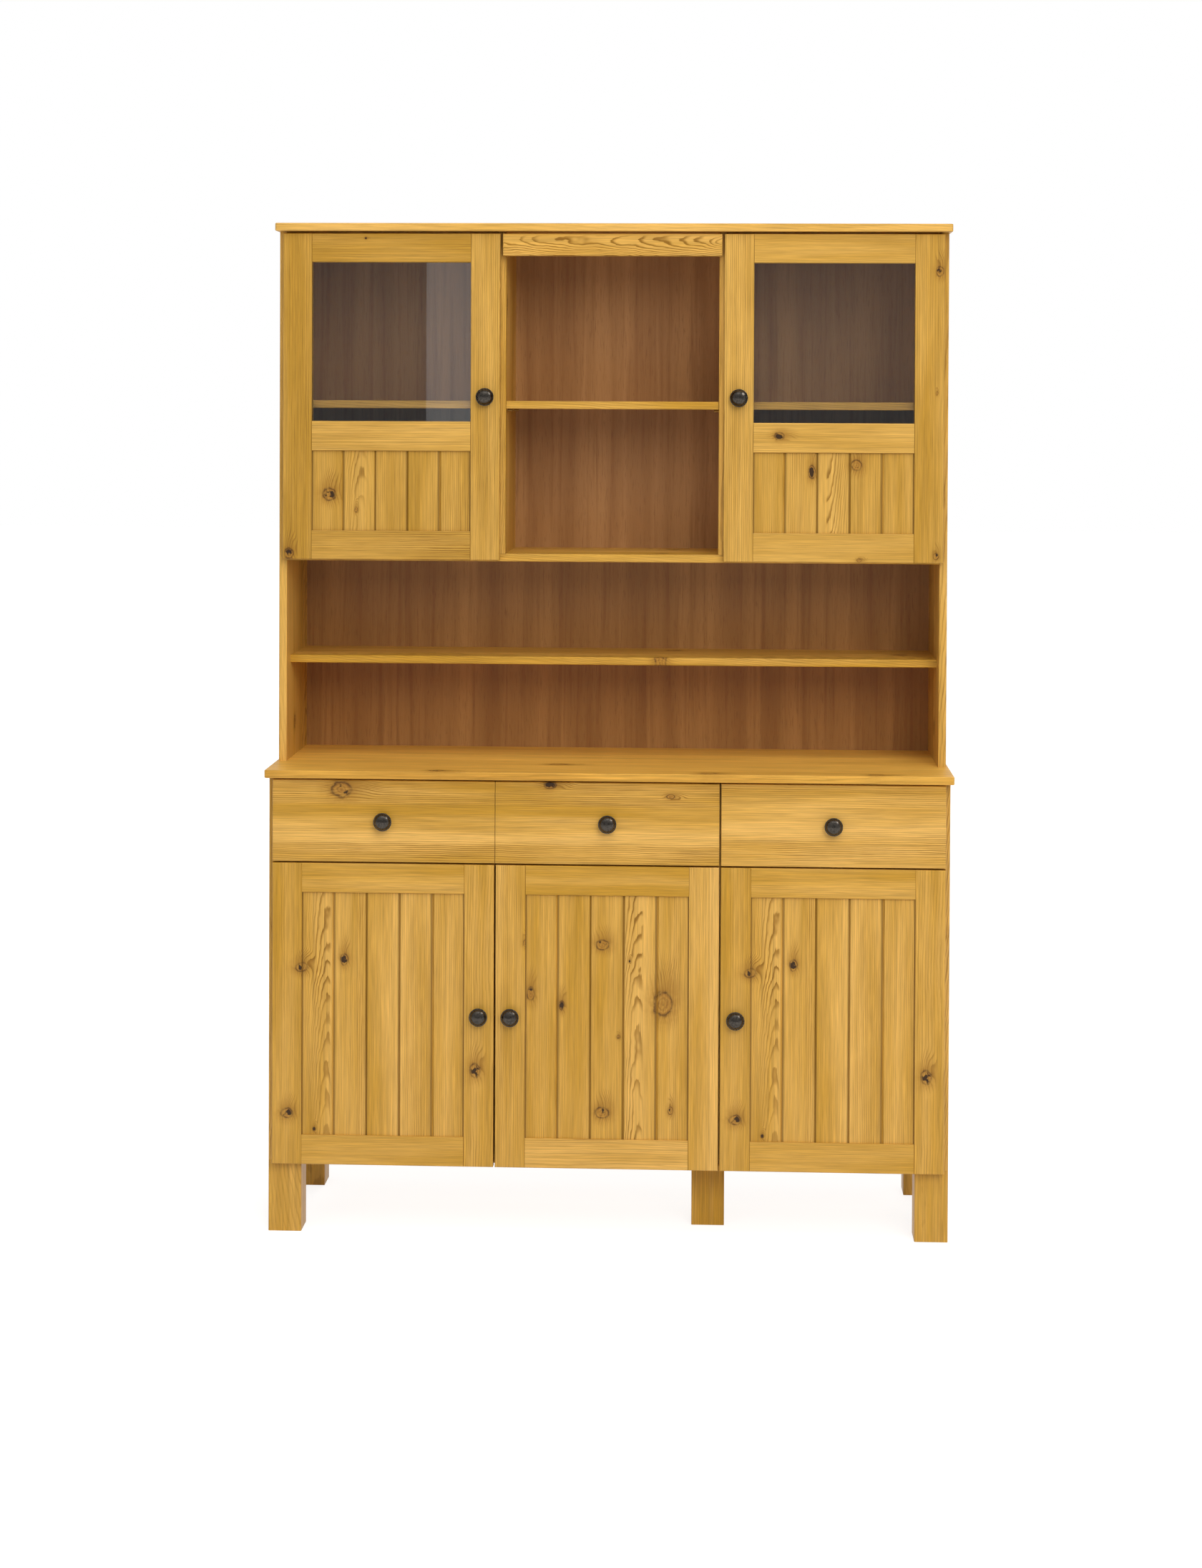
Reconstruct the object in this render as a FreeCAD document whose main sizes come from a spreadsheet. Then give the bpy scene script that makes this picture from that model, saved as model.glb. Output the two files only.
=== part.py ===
import FreeCAD, Part
import math
import os
import re
import Sketcher

# Dresser with a glazed hutch, built of knotty pine boards.
# Millimetres: +X is to the right of someone who faces it, +Y goes back to the wall, +Z is up.
# The origin lies on the floor, under the middle of the whole dresser.

doc = FreeCAD.newDocument("dresser_with_hutch")

# Driving sizes in millimetres, each with the word that names its cell.
SIZES = {
    # Base cabinet
    "body_width": 1270,  # across the outer faces of the side boards
    "carcass_depth": 360,  # front edge to back edge of a base side board
    "board_thickness": 15,  # sides, tops, shelves and partitions
    "back_thickness": 4,  # fibreboard backs
    "back_inset": 3,  # backs stop this short of the outer side faces
    "base_height": 721,  # base side boards
    "leg_height": 134,
    "leg_size": 62,  # square section
    "center_leg_offset": 189,  # to the right of the middle
    "center_leg_setback": 83,  # behind the front edge of the base
    "base_shelf_height": 258,  # floor of the base up to its shelves
    "base_shelf_setback": 20,
    # Counter and top board
    "top_side_overhang": 5,
    "top_nosing": 10,  # past the faces of the doors
    "corner_round": 5,
    "edge_round": 2,
    # Hutch
    "hutch_setback": 108,  # behind the front edge of the base
    "hutch_side_height": 1010,
    "open_bay_height": 384,  # counter up to the floor of the upper cabinet
    "open_shelf_height": 184,  # counter up to the open shelf
    "open_shelf_setback": 46,
    "hutch_shelf_height": 275.5,  # floor of the upper cabinet up to its shelves
    "hutch_shelf_setback": 4,
    "valance_height": 42,
    "valance_end_gap": 4.5,
    "shelf_clearance": 0.5,
    # Fronts
    "side_reveal": 9,  # edge of the side boards that shows beside the fronts
    "front_gap": 3,
    "door_gap": 2,  # behind the fronts
    "door_thickness": 18,
    "door_drop": 2.5,  # base doors reach below the floor of the base
    "drawer_front_height": 153,
    "drawer_seam": 1,  # between the first two drawer fronts, which are cut from one board
    "hutch_door_width": 414,
    "hutch_door_rise": 3,  # above the underside of the cabinet floor
    "hutch_door_head": 4,  # below the top board
    # Framed doors
    "stile_width": 56,
    "rail_width": 55,
    "mid_rail_width": 56.5,
    "glass_opening_height": 301,
    "glass_thickness": 4,
    "groove_front": 5,  # wood in front of the panel groove
    "groove_width": 8,
    "groove_depth": 9,
    "panel_insert": 5,  # how far panels and glass reach into the frame
    "tenon_clearance": 0.5,
    "vee_depth": 2.2,  # chamfer between two panel boards
    "tongue_length": 3,
    "tongue_thickness": 3,
    "tongue_clearance": 0.2,
    # Knobs and their screws
    "knob_length": 24,
    "knob_diameter": 34,  # over the rim
    "knob_dome_diameter": 31,
    "knob_neck_diameter": 14,
    "knob_foot_diameter": 19,
    "knob_foot_height": 2.5,
    "knob_neck_height": 7,  # from the wood to where the head begins to spread
    "knob_rim_height": 11,  # from the wood to the underside of the rim
    "knob_rim_thickness": 2,
    "knob_rim_round": 0.8,
    "screw_diameter": 4,
    "screw_grip": 9,  # length inside the knob
    "screw_clearance": 0.25,
    "screw_head_diameter": 9,
    "screw_head_height": 2.5,
    # Concealed hinges
    "hinge_end_distance": 85,  # from the top or bottom of a door
    "cup_diameter": 35,
    "cup_depth": 11.5,
    "cup_edge_distance": 22,  # cup centre from the hinged edge
    "cup_clearance": 0.1,
    "cup_wall": 1.5,
    "flange_height": 62,
    "flange_width": 16,
    "flange_thickness": 1,
    "hinge_clearance": 0.3,  # arm to folded links
    "arm_length": 60,
    "arm_height": 13,
    "arm_thickness": 9,
    "plate_thickness": 3,
    "plate_height": 48,
    "plate_depth": 20,
    "plate_setback": 30,  # behind the nose of the arm
    # Drawer boxes and runners
    "drawer_length": 320,
    "drawer_side_height": 110,
    "drawer_side_thickness": 12,
    "drawer_side_gap": 4,  # between a box and the walls of its bay
    "drawer_lift": 12,  # box above the deck
    "drawer_bottom_thickness": 4,
    "drawer_bottom_rise": 8,
    "drawer_bottom_groove": 5,
    "runner_length": 330,
    "runner_setback": 10,
    "runner_height": 14,
    "runner_engagement": 5,  # how far a runner reaches into the drawer side
    "runner_clearance": 0.3,
    # Shelf pins
    "pin_diameter": 5,
    "pin_depth": 7,  # inside the board
    "pin_reach": 9,  # under the shelf
    "pin_clearance": 0.1,
    "pin_inset": 40,  # from the front and back of a shelf
    # Drills and cutters pass this far through a face
    "cut_overrun": 1,
}
PANEL_BOARDS = 5

# Lengths and places worked out from the driving sizes.
FORMULAS = {
    "face_depth": "door_gap + door_thickness",
    "base_front": "-(carcass_depth + back_thickness - face_depth - knob_length) / 2",
    "base_back": "base_front + carcass_depth",
    "base_face": "base_front - face_depth",
    "hutch_front": "base_front + hutch_setback",
    "hutch_face": "hutch_front - face_depth",
    "hutch_depth": "carcass_depth - hutch_setback",
    "outer_half": "body_width / 2",
    "inner_half": "outer_half - board_thickness",
    "front_width": "(body_width - 2 * side_reveal - 2 * front_gap) / 3",
    "bay_half": "(front_width + front_gap - board_thickness) / 2",
    "bay_width": "inner_half - bay_half - board_thickness",
    "bottom_top": "leg_height + board_thickness",
    "counter_bottom": "leg_height + base_height",
    "counter_top": "counter_bottom + board_thickness",
    "drawer_bottom": "counter_bottom - front_gap - drawer_front_height",
    "base_door_bottom": "leg_height - door_drop",
    "base_door_height": "drawer_bottom - front_gap - base_door_bottom",
    "deck_bottom": "drawer_bottom - (front_gap + board_thickness) / 2",
    "deck_top": "deck_bottom + board_thickness",
    "base_shelf_bottom": "bottom_top + base_shelf_height",
    "open_shelf_bottom": "counter_top + open_shelf_height",
    "cabinet_bottom": "counter_top + open_bay_height",
    "cabinet_floor": "cabinet_bottom + board_thickness",
    "cabinet_shelf_bottom": "cabinet_floor + hutch_shelf_height",
    "hutch_top_bottom": "counter_top + hutch_side_height",
    "hutch_door_bottom": "cabinet_bottom + hutch_door_rise",
    "hutch_door_top": "hutch_top_bottom - hutch_door_head",
    "hutch_door_height": "hutch_door_top - hutch_door_bottom",
    "valance_half": "outer_half - side_reveal - hutch_door_width - valance_end_gap",
    "hutch_bay_half": "valance_half + (valance_end_gap - board_thickness) / 2",
    "groove_back": "groove_front + groove_width",
    "tenon_length": "groove_depth - tenon_clearance",
    "box_width": "bay_width - 2 * drawer_side_gap",
    "box_bottom": "deck_top + drawer_lift",
    "runner_groove": "runner_engagement + runner_clearance",
    "runner_thickness": "drawer_side_gap + runner_engagement",
    "runner_bottom": "box_bottom + (drawer_side_height - runner_height) / 2",
}
PLAN, FRONT, SIDE = "XY_Plane", "XZ_Plane", "YZ_Plane"
ALONG_X = FreeCAD.Rotation(FreeCAD.Vector(0, 1, 0), 90)
ALONG_Y = FreeCAD.Rotation(FreeCAD.Vector(1, 0, 0), -90)
TOWARDS_FRONT = FreeCAD.Rotation(FreeCAD.Vector(1, 0, 0), 90)
UPRIGHT = FreeCAD.Rotation()
TOUCH = 1e-4
POINTS_TESTED = 3
nodes = []

sheet = doc.addObject("Spreadsheet::Sheet", "Sizes")
for row, (word, length) in enumerate(SIZES.items(), 1):
    sheet.set(f"A{row}", word)
    sheet.set(f"B{row}", str(length))
    sheet.setAlias(f"B{row}", word)
doc.recompute()


def bound(text):
    """The formula with its words replaced by cells of the sheet."""
    def cell(match):
        word = match[0]
        if word in SIZES:
            return f"Sizes.{word}"
        return f"({bound(FORMULAS[word])})"
    return re.sub(r"[a-z_]+", cell, text)


def value(text):
    """The formula's number for the sheet as it stands."""
    return float(sheet.evalExpression(bound(text)))


def put(piece, place, turn=UPRIGHT):
    """Turn a piece and tie its place to the sheet."""
    piece.Placement = FreeCAD.Placement(FreeCAD.Vector(0, 0, 0), turn)
    for axis, text in zip("xyz", place):
        piece.setExpression(f".Placement.Base.{axis}", bound(text))


def new_body(name, place, turn=UPRIGHT):
    body = doc.addObject("PartDesign::Body", name)
    put(body, place, turn)
    return body


def arc_about_axis(start, end):
    """The arc between two points of an outline whose centre lies on the upright axis."""
    level = (end.x ** 2 + end.y ** 2 - start.x ** 2 - start.y ** 2) / (2 * (end.y - start.y))
    middle = FreeCAD.Vector(0, level, 0)
    outward = (start + end - 2 * middle).normalize()
    return Part.Arc(start, middle + outward * start.distanceToPoint(middle), end)


def outline(body, plane, points, lift="0", domed=None):
    """A closed outline on one of the body's planes, each corner tied to the sheet.

    Its sides are straight, apart from the domed one, whose number is counted from 0.
    """
    sketch = body.newObject("Sketcher::SketchObject", f"{body.Name}_outline")
    support = [item for item in body.Origin.OriginFeatures if item.Role == plane][0]
    sketch.AttachmentSupport = (support, [""])
    sketch.MapMode = "FlatFace"
    sketch.setExpression(".AttachmentOffset.Base.z", bound(lift))
    corners = [FreeCAD.Vector(value(across), value(up), 0) for across, up in points]
    ends = corners[1:] + corners[:1]
    sketch.addGeometry([
        arc_about_axis(start, end) if line == domed else Part.LineSegment(start, end)
        for line, (start, end) in enumerate(zip(corners, ends))
    ])
    count = len(points)
    sketch.addConstraint([
        Sketcher.Constraint("Coincident", line, 2, (line + 1) % count, 1) for line in range(count)
    ])
    for line, (across, up) in enumerate(points):
        for axis, kind, text in ((-2, "DistanceX", across), (-1, "DistanceY", up)):
            if text == "0":
                sketch.addConstraint(Sketcher.Constraint("PointOnObject", line, 1, axis))
                continue
            number = sketch.addConstraint(Sketcher.Constraint(kind, -1, 1, line, 1, value(text)))
            sketch.setExpression(f"Constraints[{number}]", bound(text))
    if domed is not None:
        sketch.addConstraint(Sketcher.Constraint("PointOnObject", domed, 3, -2))
    return sketch


def pad(body, plane, points, length, lift="0"):
    """Grow an outline by a length, towards +Z from the plan and +X from the side."""
    sketch = outline(body, plane, points, lift)
    solid = body.newObject("PartDesign::Pad", f"{body.Name}_pad")
    solid.Profile = sketch
    solid.setExpression("Length", bound(length))
    return solid


def rectangle(low, high):
    (left, bottom), (right, top) = low, high
    return [(left, bottom), (right, bottom), (right, top), (left, top)]


def round_over(body, radius, chosen):
    """Round the edges that the test picks by the planes, or the radius about Z, that they lie on."""
    doc.recompute()
    base = body.Tip
    names = []
    for number, edge in enumerate(base.Shape.Edges, 1):
        if edge.Degenerated:
            continue
        places = [
            {"x": point.x, "y": point.y, "z": point.z, "radius": math.hypot(point.x, point.y)}
            for point in edge.discretize(POINTS_TESTED)
        ]

        def on(axis, text):
            return all(abs(place[axis] - value(text)) < TOUCH for place in places)
        if chosen(on):
            names.append(f"Edge{number}")
    fillet = body.newObject("PartDesign::Fillet", f"{body.Name}_round")
    fillet.Base = (base, names)
    fillet.setExpression("Radius", bound(radius))


def board(name, size, place):
    """A square-edged board: its three sizes, then its left, front, bottom corner."""
    width, depth, height = size
    body = new_body(name, place)
    pad(body, PLAN, rectangle(("0", "0"), (width, depth)), height)
    return body


def block(name, size, place):
    box = doc.addObject("Part::Box", name)
    for side, text in zip(("Length", "Width", "Height"), size):
        box.setExpression(side, bound(text))
    put(box, place)
    return box


def rod(name, diameter, length, place, turn):
    cylinder = doc.addObject("Part::Cylinder", name)
    cylinder.setExpression("Radius", bound(f"({diameter}) / 2"))
    cylinder.setExpression("Height", bound(length))
    put(cylinder, place, turn)
    return cylinder


def compound(name, pieces):
    joined = doc.addObject("Part::Compound", name)
    joined.Links = pieces
    return joined


def fused(name, pieces):
    joined = doc.addObject("Part::MultiFuse", name)
    joined.Shapes = pieces
    return joined


def cut_away(name, piece, tools):
    """The piece with every tool's shape taken out of it."""
    cut = doc.addObject("Part::Cut", name)
    cut.Base = piece
    cut.Tool = compound(f"{name}_tools", tools)
    return cut


def keep(label, pieces):
    """Hand in one piece, or several alike as a group, under one name."""
    node = pieces[0] if len(pieces) == 1 else compound(label, pieces)
    node.Label = label
    nodes.append(node)


# Boards with rounded edges

def front_rounded(name, size, place, upright):
    """A board whose two long front edges are eased; upright boards have them along Z."""
    body = board(name, size, place)
    width, depth, height = size
    if upright:
        round_over(body, "edge_round", lambda on: on("y", "0") and (on("x", "0") or on("x", width)))
    else:
        round_over(body, "edge_round", lambda on: on("y", "0") and (on("z", "0") or on("z", height)))
    return body


def top_board(label, face, bottom):
    """The counter or the top of the hutch: overhangs its doors and sides, eased on the three open edges."""
    width = "body_width + 2 * top_side_overhang"
    front = f"{face} - top_nosing"
    depth = f"base_back + back_thickness - ({front})"
    body = board(label, (width, depth, "board_thickness"), ("-outer_half - top_side_overhang", front, bottom))
    round_over(body, "corner_round", lambda on: on("y", "0") and (on("x", "0") or on("x", width)))
    round_over(
        body, "edge_round",
        lambda on: (on("z", "0") or on("z", "board_thickness")) and not on("y", depth))
    keep(label, [body])


# Shelf pins and the holes that hold them

pins = []
pin_holes = {}


def pin_pair(walled, shelf_bottom, front, wall, outward):
    """Two pins in one wall face under one end of a shelf; outward is 1 where the shelf lies towards +X."""
    depth_places = (f"{front} + pin_inset", "base_back - pin_inset")
    middle = f"{shelf_bottom} - pin_diameter / 2 - pin_clearance"
    start = f"{wall} - pin_depth" if outward > 0 else f"{wall} - pin_reach"
    bore = f"{wall} - pin_depth" if outward > 0 else f"{wall} - cut_overrun"
    for place in depth_places:
        number = len(pins) + 1
        pins.append(rod(
            f"pin_{number}", "pin_diameter", "pin_depth + pin_reach", (start, place, middle), ALONG_X))
        hole = rod(
            f"pin_hole_{number}", "pin_diameter + 2 * pin_clearance", "pin_depth + cut_overrun",
            (bore, place, middle), ALONG_X)
        pin_holes.setdefault(walled, []).append(hole)


def pinned_shelf(left_wall, left, right_wall, right, shelf_bottom, front):
    """Four pins for a shelf: each end's board by name, and where the face of that board lies."""
    pin_pair(left_wall, shelf_bottom, front, left, 1)
    pin_pair(right_wall, shelf_bottom, front, right, -1)


BASE_SHELF_FRONT = "base_front + base_shelf_setback"
HUTCH_SHELF_FRONT = "hutch_front + hutch_shelf_setback"
MIDDLE_LEFT, MIDDLE_RIGHT = "-bay_half - board_thickness", "bay_half + board_thickness"
HUTCH_LEFT, HUTCH_RIGHT = "-hutch_bay_half - board_thickness", "hutch_bay_half + board_thickness"
BASE_SHELF = ("base_shelf_bottom", BASE_SHELF_FRONT)
CABINET_SHELF = ("cabinet_shelf_bottom", HUTCH_SHELF_FRONT)
pinned_shelf("base_side_left", "-inner_half", "base_partition", "bay_half", *BASE_SHELF)
pinned_shelf("base_partition", MIDDLE_RIGHT, "base_side_right", "inner_half", *BASE_SHELF)
pinned_shelf("hutch_side_left", "-inner_half", "hutch_partition_left", HUTCH_LEFT, *CABINET_SHELF)
pinned_shelf(
    "hutch_partition_left", "-hutch_bay_half", "hutch_partition_right", "hutch_bay_half", *CABINET_SHELF)
pinned_shelf("hutch_partition_right", HUTCH_RIGHT, "hutch_side_right", "inner_half", *CABINET_SHELF)
keep("shelf_pins", pins)


def drilled_upright(name, left, front, bottom, depth, height):
    """An upright board with its front edges eased and its shelf pin holes drilled."""
    body = front_rounded(f"{name}_board", ("board_thickness", depth, height), (left, front, bottom), True)
    return cut_away(name, body, pin_holes[name])


# Base cabinet

SIDE_PLACES = (("left", "-outer_half"), ("right", "inner_half"))
keep("base_sides", [
    drilled_upright(f"base_side_{side}", left, "base_front", "leg_height", "carcass_depth", "base_height")
    for side, left in SIDE_PLACES
])
keep("base_partition", [drilled_upright(
    "base_partition", "bay_half", "base_front", "bottom_top", "carcass_depth",
    "base_height - board_thickness")])
keep("base_bottom", [front_rounded(
    "base_bottom", ("2 * inner_half", "carcass_depth", "board_thickness"),
    ("-inner_half", "base_front", "leg_height"), False)])
keep("drawer_deck", [
    front_rounded(
        f"drawer_deck_{side}", (f"{right} - ({left})", "carcass_depth", "board_thickness"),
        (left, "base_front", "deck_bottom"), False)
    for side, left, right in (("left", "-inner_half", "bay_half"), ("right", MIDDLE_RIGHT, "inner_half"))
])
keep("drawer_divider", [front_rounded(
    "drawer_divider", ("board_thickness", "carcass_depth", "counter_bottom - deck_top"),
    (MIDDLE_LEFT, "base_front", "deck_top"), True)])
keep("base_shelves", [
    front_rounded(
        f"base_shelf_{side}", (
            f"{right} - ({left}) - 2 * shelf_clearance", "carcass_depth - base_shelf_setback",
            "board_thickness"),
        (f"{left} + shelf_clearance", BASE_SHELF_FRONT, "base_shelf_bottom"), False)
    for side, left, right in (("left", "-inner_half", "bay_half"), ("right", MIDDLE_RIGHT, "inner_half"))
])
keep("base_back", [board(
    "base_back", ("body_width - 2 * back_inset", "back_thickness", "base_height"),
    ("-outer_half + back_inset", "base_back", "leg_height"))])
top_board("countertop", "base_face", "counter_bottom")


def leg(name, left, front):
    body = board(name, ("leg_size", "leg_size", "leg_height"), (left, front, "0"))
    round_over(body, "edge_round", lambda on: not on("z", "0") and not on("z", "leg_height"))
    return body


REAR_LEG_FRONT = "base_back + back_thickness - leg_size"
keep("legs", [
    leg("leg_front_left", "-outer_half", "base_front"),
    leg("leg_front_right", "outer_half - leg_size", "base_front"),
    leg("leg_rear_left", "-outer_half", REAR_LEG_FRONT),
    leg("leg_rear_right", "outer_half - leg_size", REAR_LEG_FRONT),
    leg("leg_center", "center_leg_offset - leg_size / 2", "base_front + center_leg_setback"),
])

# Hutch

keep("hutch_sides", [
    drilled_upright(
        f"hutch_side_{side}", left, "hutch_front", "counter_top", "hutch_depth", "hutch_side_height")
    for side, left in SIDE_PLACES
])
keep("hutch_partitions", [
    drilled_upright(
        f"hutch_partition_{side}", left, "hutch_front", "cabinet_floor", "hutch_depth",
        "hutch_top_bottom - cabinet_floor")
    for side, left in (("left", HUTCH_LEFT), ("right", "hutch_bay_half"))
])
keep("hutch_floor", [front_rounded(
    "hutch_floor", ("2 * inner_half", "hutch_depth", "board_thickness"),
    ("-inner_half", "hutch_front", "cabinet_bottom"), False)])
CABINET_BAYS = (
    ("left", "-inner_half", HUTCH_LEFT),
    ("middle", "-hutch_bay_half", "hutch_bay_half"),
    ("right", HUTCH_RIGHT, "inner_half"),
)
open_shelf = front_rounded(
    "open_shelf", ("2 * inner_half", "hutch_depth - open_shelf_setback", "board_thickness"),
    ("-inner_half", "hutch_front + open_shelf_setback", "open_shelf_bottom"), False)
keep("hutch_shelves", [open_shelf] + [
    front_rounded(
        f"hutch_shelf_{bay}", (
            f"{right} - ({left}) - 2 * shelf_clearance", "hutch_depth - hutch_shelf_setback",
            "board_thickness"),
        (f"{left} + shelf_clearance", HUTCH_SHELF_FRONT, "cabinet_shelf_bottom"), False)
    for bay, left, right in CABINET_BAYS
])
keep("hutch_back", [board(
    "hutch_back", ("body_width - 2 * back_inset", "back_thickness", "hutch_side_height"),
    ("-outer_half + back_inset", "base_back", "counter_top"))])
top_board("hutch_top", "hutch_face", "hutch_top_bottom")

valance = board(
    "valance", ("2 * valance_half", "face_depth", "valance_height"),
    ("-valance_half", "hutch_face", "hutch_door_top - valance_height"))
round_over(valance, "edge_round", lambda on: on("y", "0"))
keep("valance", [valance])

# Knobs

def knob_with_screw(label, middle, height, face):
    """A turned metal knob, and the screw that holds it through the wood."""
    body = new_body(f"{label}_head", (middle, face, height), TOWARDS_FRONT)
    bore, foot = "screw_diameter / 2 + screw_clearance", "knob_foot_diameter / 2"
    neck, rim, dome = "knob_neck_diameter / 2", "knob_diameter / 2", "knob_dome_diameter / 2"
    rim_top = "knob_rim_height + knob_rim_thickness"
    profile = [
        (bore, "0"), (foot, "0"), (foot, "knob_foot_height"), (neck, "knob_foot_height"),
        (neck, "knob_neck_height"), (rim, "knob_rim_height"), (rim, rim_top), (dome, rim_top),
        ("0", "knob_length"), ("0", "screw_grip"), (bore, "screw_grip"),
    ]
    turned = body.newObject("PartDesign::Revolution", f"{label}_turned")
    turned.Profile = outline(body, FRONT, profile, domed=profile.index((dome, rim_top)))
    turned.ReferenceAxis = (turned.Profile[0], ["V_Axis"])
    turned.Angle = 360
    round_over(body, "knob_rim_round", lambda on: on("radius", rim))
    shank = rod(
        f"{label}_shank", "screw_diameter", "door_thickness + screw_grip - screw_clearance",
        (middle, f"{face} - screw_grip + screw_clearance", height), ALONG_Y)
    screw_head = rod(
        f"{label}_screw_head", "screw_head_diameter", "screw_head_height",
        (middle, f"{face} + door_thickness", height), ALONG_Y)
    keep(label, [body, fused(f"{label}_screw", [shank, screw_head])])


def screw_hole(label, middle, height, face):
    """The drill for a knob screw, right through the front."""
    return rod(
        f"{label}_hole", "screw_diameter + 2 * screw_clearance", "door_thickness + 2 * cut_overrun",
        (middle, f"{face} - cut_overrun", height), ALONG_Y)


# Concealed hinges: cups sunk into the doors, arms on plates screwed to the boards

def hinge_cup(name, middle, height, face):
    """A cup sunk into the back of a stile, with a flange on the wood and folded links in its middle."""
    back = f"{face} + door_thickness"
    inside = f"{back} - cup_depth + cup_wall"
    clear_depth = "cup_depth - cup_wall + flange_thickness"
    clear_diameter = "cup_diameter - 2 * cup_wall"
    shell = rod(
        f"{name}_shell", "cup_diameter", "cup_depth", (middle, f"{back} - cup_depth", height), ALONG_Y)
    flange = block(
        f"{name}_flange", ("flange_width", "flange_thickness", "flange_height"),
        (f"{middle} - flange_width / 2", back, f"{height} - flange_height / 2"))
    hollow = rod(
        f"{name}_hollow", clear_diameter, f"{clear_depth} + cut_overrun", (middle, inside, height), ALONG_Y)
    links = block(
        f"{name}_links", (clear_diameter, clear_depth, "arm_height"),
        (f"{middle} - ({clear_diameter}) / 2", inside, f"{height} - arm_height / 2"))
    return fused(name, [cut_away(f"{name}_cup", fused(f"{name}_solid", [shell, flange]), [hollow]), links])


def cup_bore(name, middle, height, face):
    """The blind hole that a cup is pressed into."""
    return rod(
        f"{name}_bore", "cup_diameter + 2 * cup_clearance", "cup_depth + cup_clearance + cut_overrun",
        (middle, f"{face} + door_thickness - cup_depth - cup_clearance", height), ALONG_Y)


arms = []


def hinge_arm(name, wall, outward, height, front):
    """An arm on its plate; outward is 1 where the cabinet lies towards +X of the wall face."""
    nose = f"{front} - door_gap + flange_thickness + hinge_clearance"
    plate_left = wall if outward > 0 else f"{wall} - plate_thickness"
    arm_left = f"{wall} + plate_thickness" if outward > 0 else f"{wall} - plate_thickness - arm_thickness"
    plate = block(
        f"{name}_plate", ("plate_thickness", "plate_depth", "plate_height"),
        (plate_left, f"{nose} + plate_setback", f"{height} - plate_height / 2"))
    arm = block(
        f"{name}_arm", ("arm_thickness", "arm_length", "arm_height"),
        (arm_left, nose, f"{height} - arm_height / 2"))
    arms.append(fused(name, [plate, arm]))


# Framed doors

def stile(name, side, height, place):
    """An upright of a door frame, grooved along its inner edge, with its face edges eased."""
    outer, inner, deep = "0", "stile_width", "stile_width - groove_depth"
    if side == "right":
        outer, inner, deep = "stile_width", "0", "groove_depth"
    body = new_body(name, place)
    pad(body, PLAN, [
        (outer, "0"), (inner, "0"), (inner, "groove_front"), (deep, "groove_front"),
        (deep, "groove_back"), (inner, "groove_back"), (inner, "door_thickness"), (outer, "door_thickness"),
    ], height)
    round_over(body, "edge_round", lambda on: on("y", "0"))
    return body


EDGE_CUTS = {
    # Corners from the face to the back: depth from the face, then depth into the edge
    "plain": [("door_thickness", False)],
    "groove": [
        ("groove_front", False), ("groove_front", True), ("groove_back", True), ("groove_back", False),
        ("door_thickness", False)],
    "rebate": [("groove_front", False), ("groove_front", True), ("door_thickness", True)],
}


def rail(name, width, length, place, lower, upper):
    """A crosspiece of a door frame: its edges plain, grooved or rebated, stub tenons at its ends."""
    sunk_top = f"{width} - groove_depth"
    low_edge = [("0", "0")] + [(y, "groove_depth" if sunk else "0") for y, sunk in EDGE_CUTS[lower]]
    high_edge = [("0", width)] + [(y, sunk_top if sunk else width) for y, sunk in EDGE_CUTS[upper]]
    tenon_low = "0" if lower == "plain" else "groove_depth"
    tenon_high = width if upper == "plain" else sunk_top
    left, front, bottom = place
    body = new_body(name, (f"{left} - tenon_length", front, bottom))
    tenon = rectangle(("groove_front", tenon_low), ("groove_back", tenon_high))
    pad(body, SIDE, tenon, f"{length} + 2 * tenon_length")
    pad(body, SIDE, low_edge + high_edge[::-1], length, lift="tenon_length")
    round_over(body, "edge_round", lambda on: on("y", "0") and (on("z", "0") or on("z", width)))
    return body


def panel_boards(label, opening_width, opening_height, place):
    """Tongued boards with a vee between them, their edges held in the grooves of the frame."""
    pitch = f"({opening_width} + 2 * panel_insert) / {PANEL_BOARDS}"
    tongue_front = "(groove_width - tongue_thickness) / 2"
    tongue_back = "(groove_width + tongue_thickness) / 2"
    slot_front, slot_back = f"{tongue_front} - tongue_clearance", f"{tongue_back} + tongue_clearance"
    slot, tip = "tongue_length + tongue_clearance", f"{pitch} + tongue_length"
    profile = [
        ("0", "vee_depth"), ("vee_depth", "0"), (f"{pitch} - vee_depth", "0"), (pitch, "vee_depth"),
        (pitch, tongue_front), (tip, tongue_front), (tip, tongue_back), (pitch, tongue_back),
        (pitch, "groove_width"), ("0", "groove_width"),
        ("0", slot_back), (slot, slot_back), (slot, slot_front), ("0", slot_front),
    ]
    left, face, bottom = place
    boards = []
    for number in range(PANEL_BOARDS):
        board_left = f"{left} - panel_insert + {number} * ({pitch})"
        body = new_body(
            f"{label}_{number + 1}", (board_left, f"{face} + groove_front", f"{bottom} - panel_insert"))
        pad(body, PLAN, profile, f"{opening_height} + 2 * panel_insert")
        boards.append(body)
    keep(label, boards)


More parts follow.
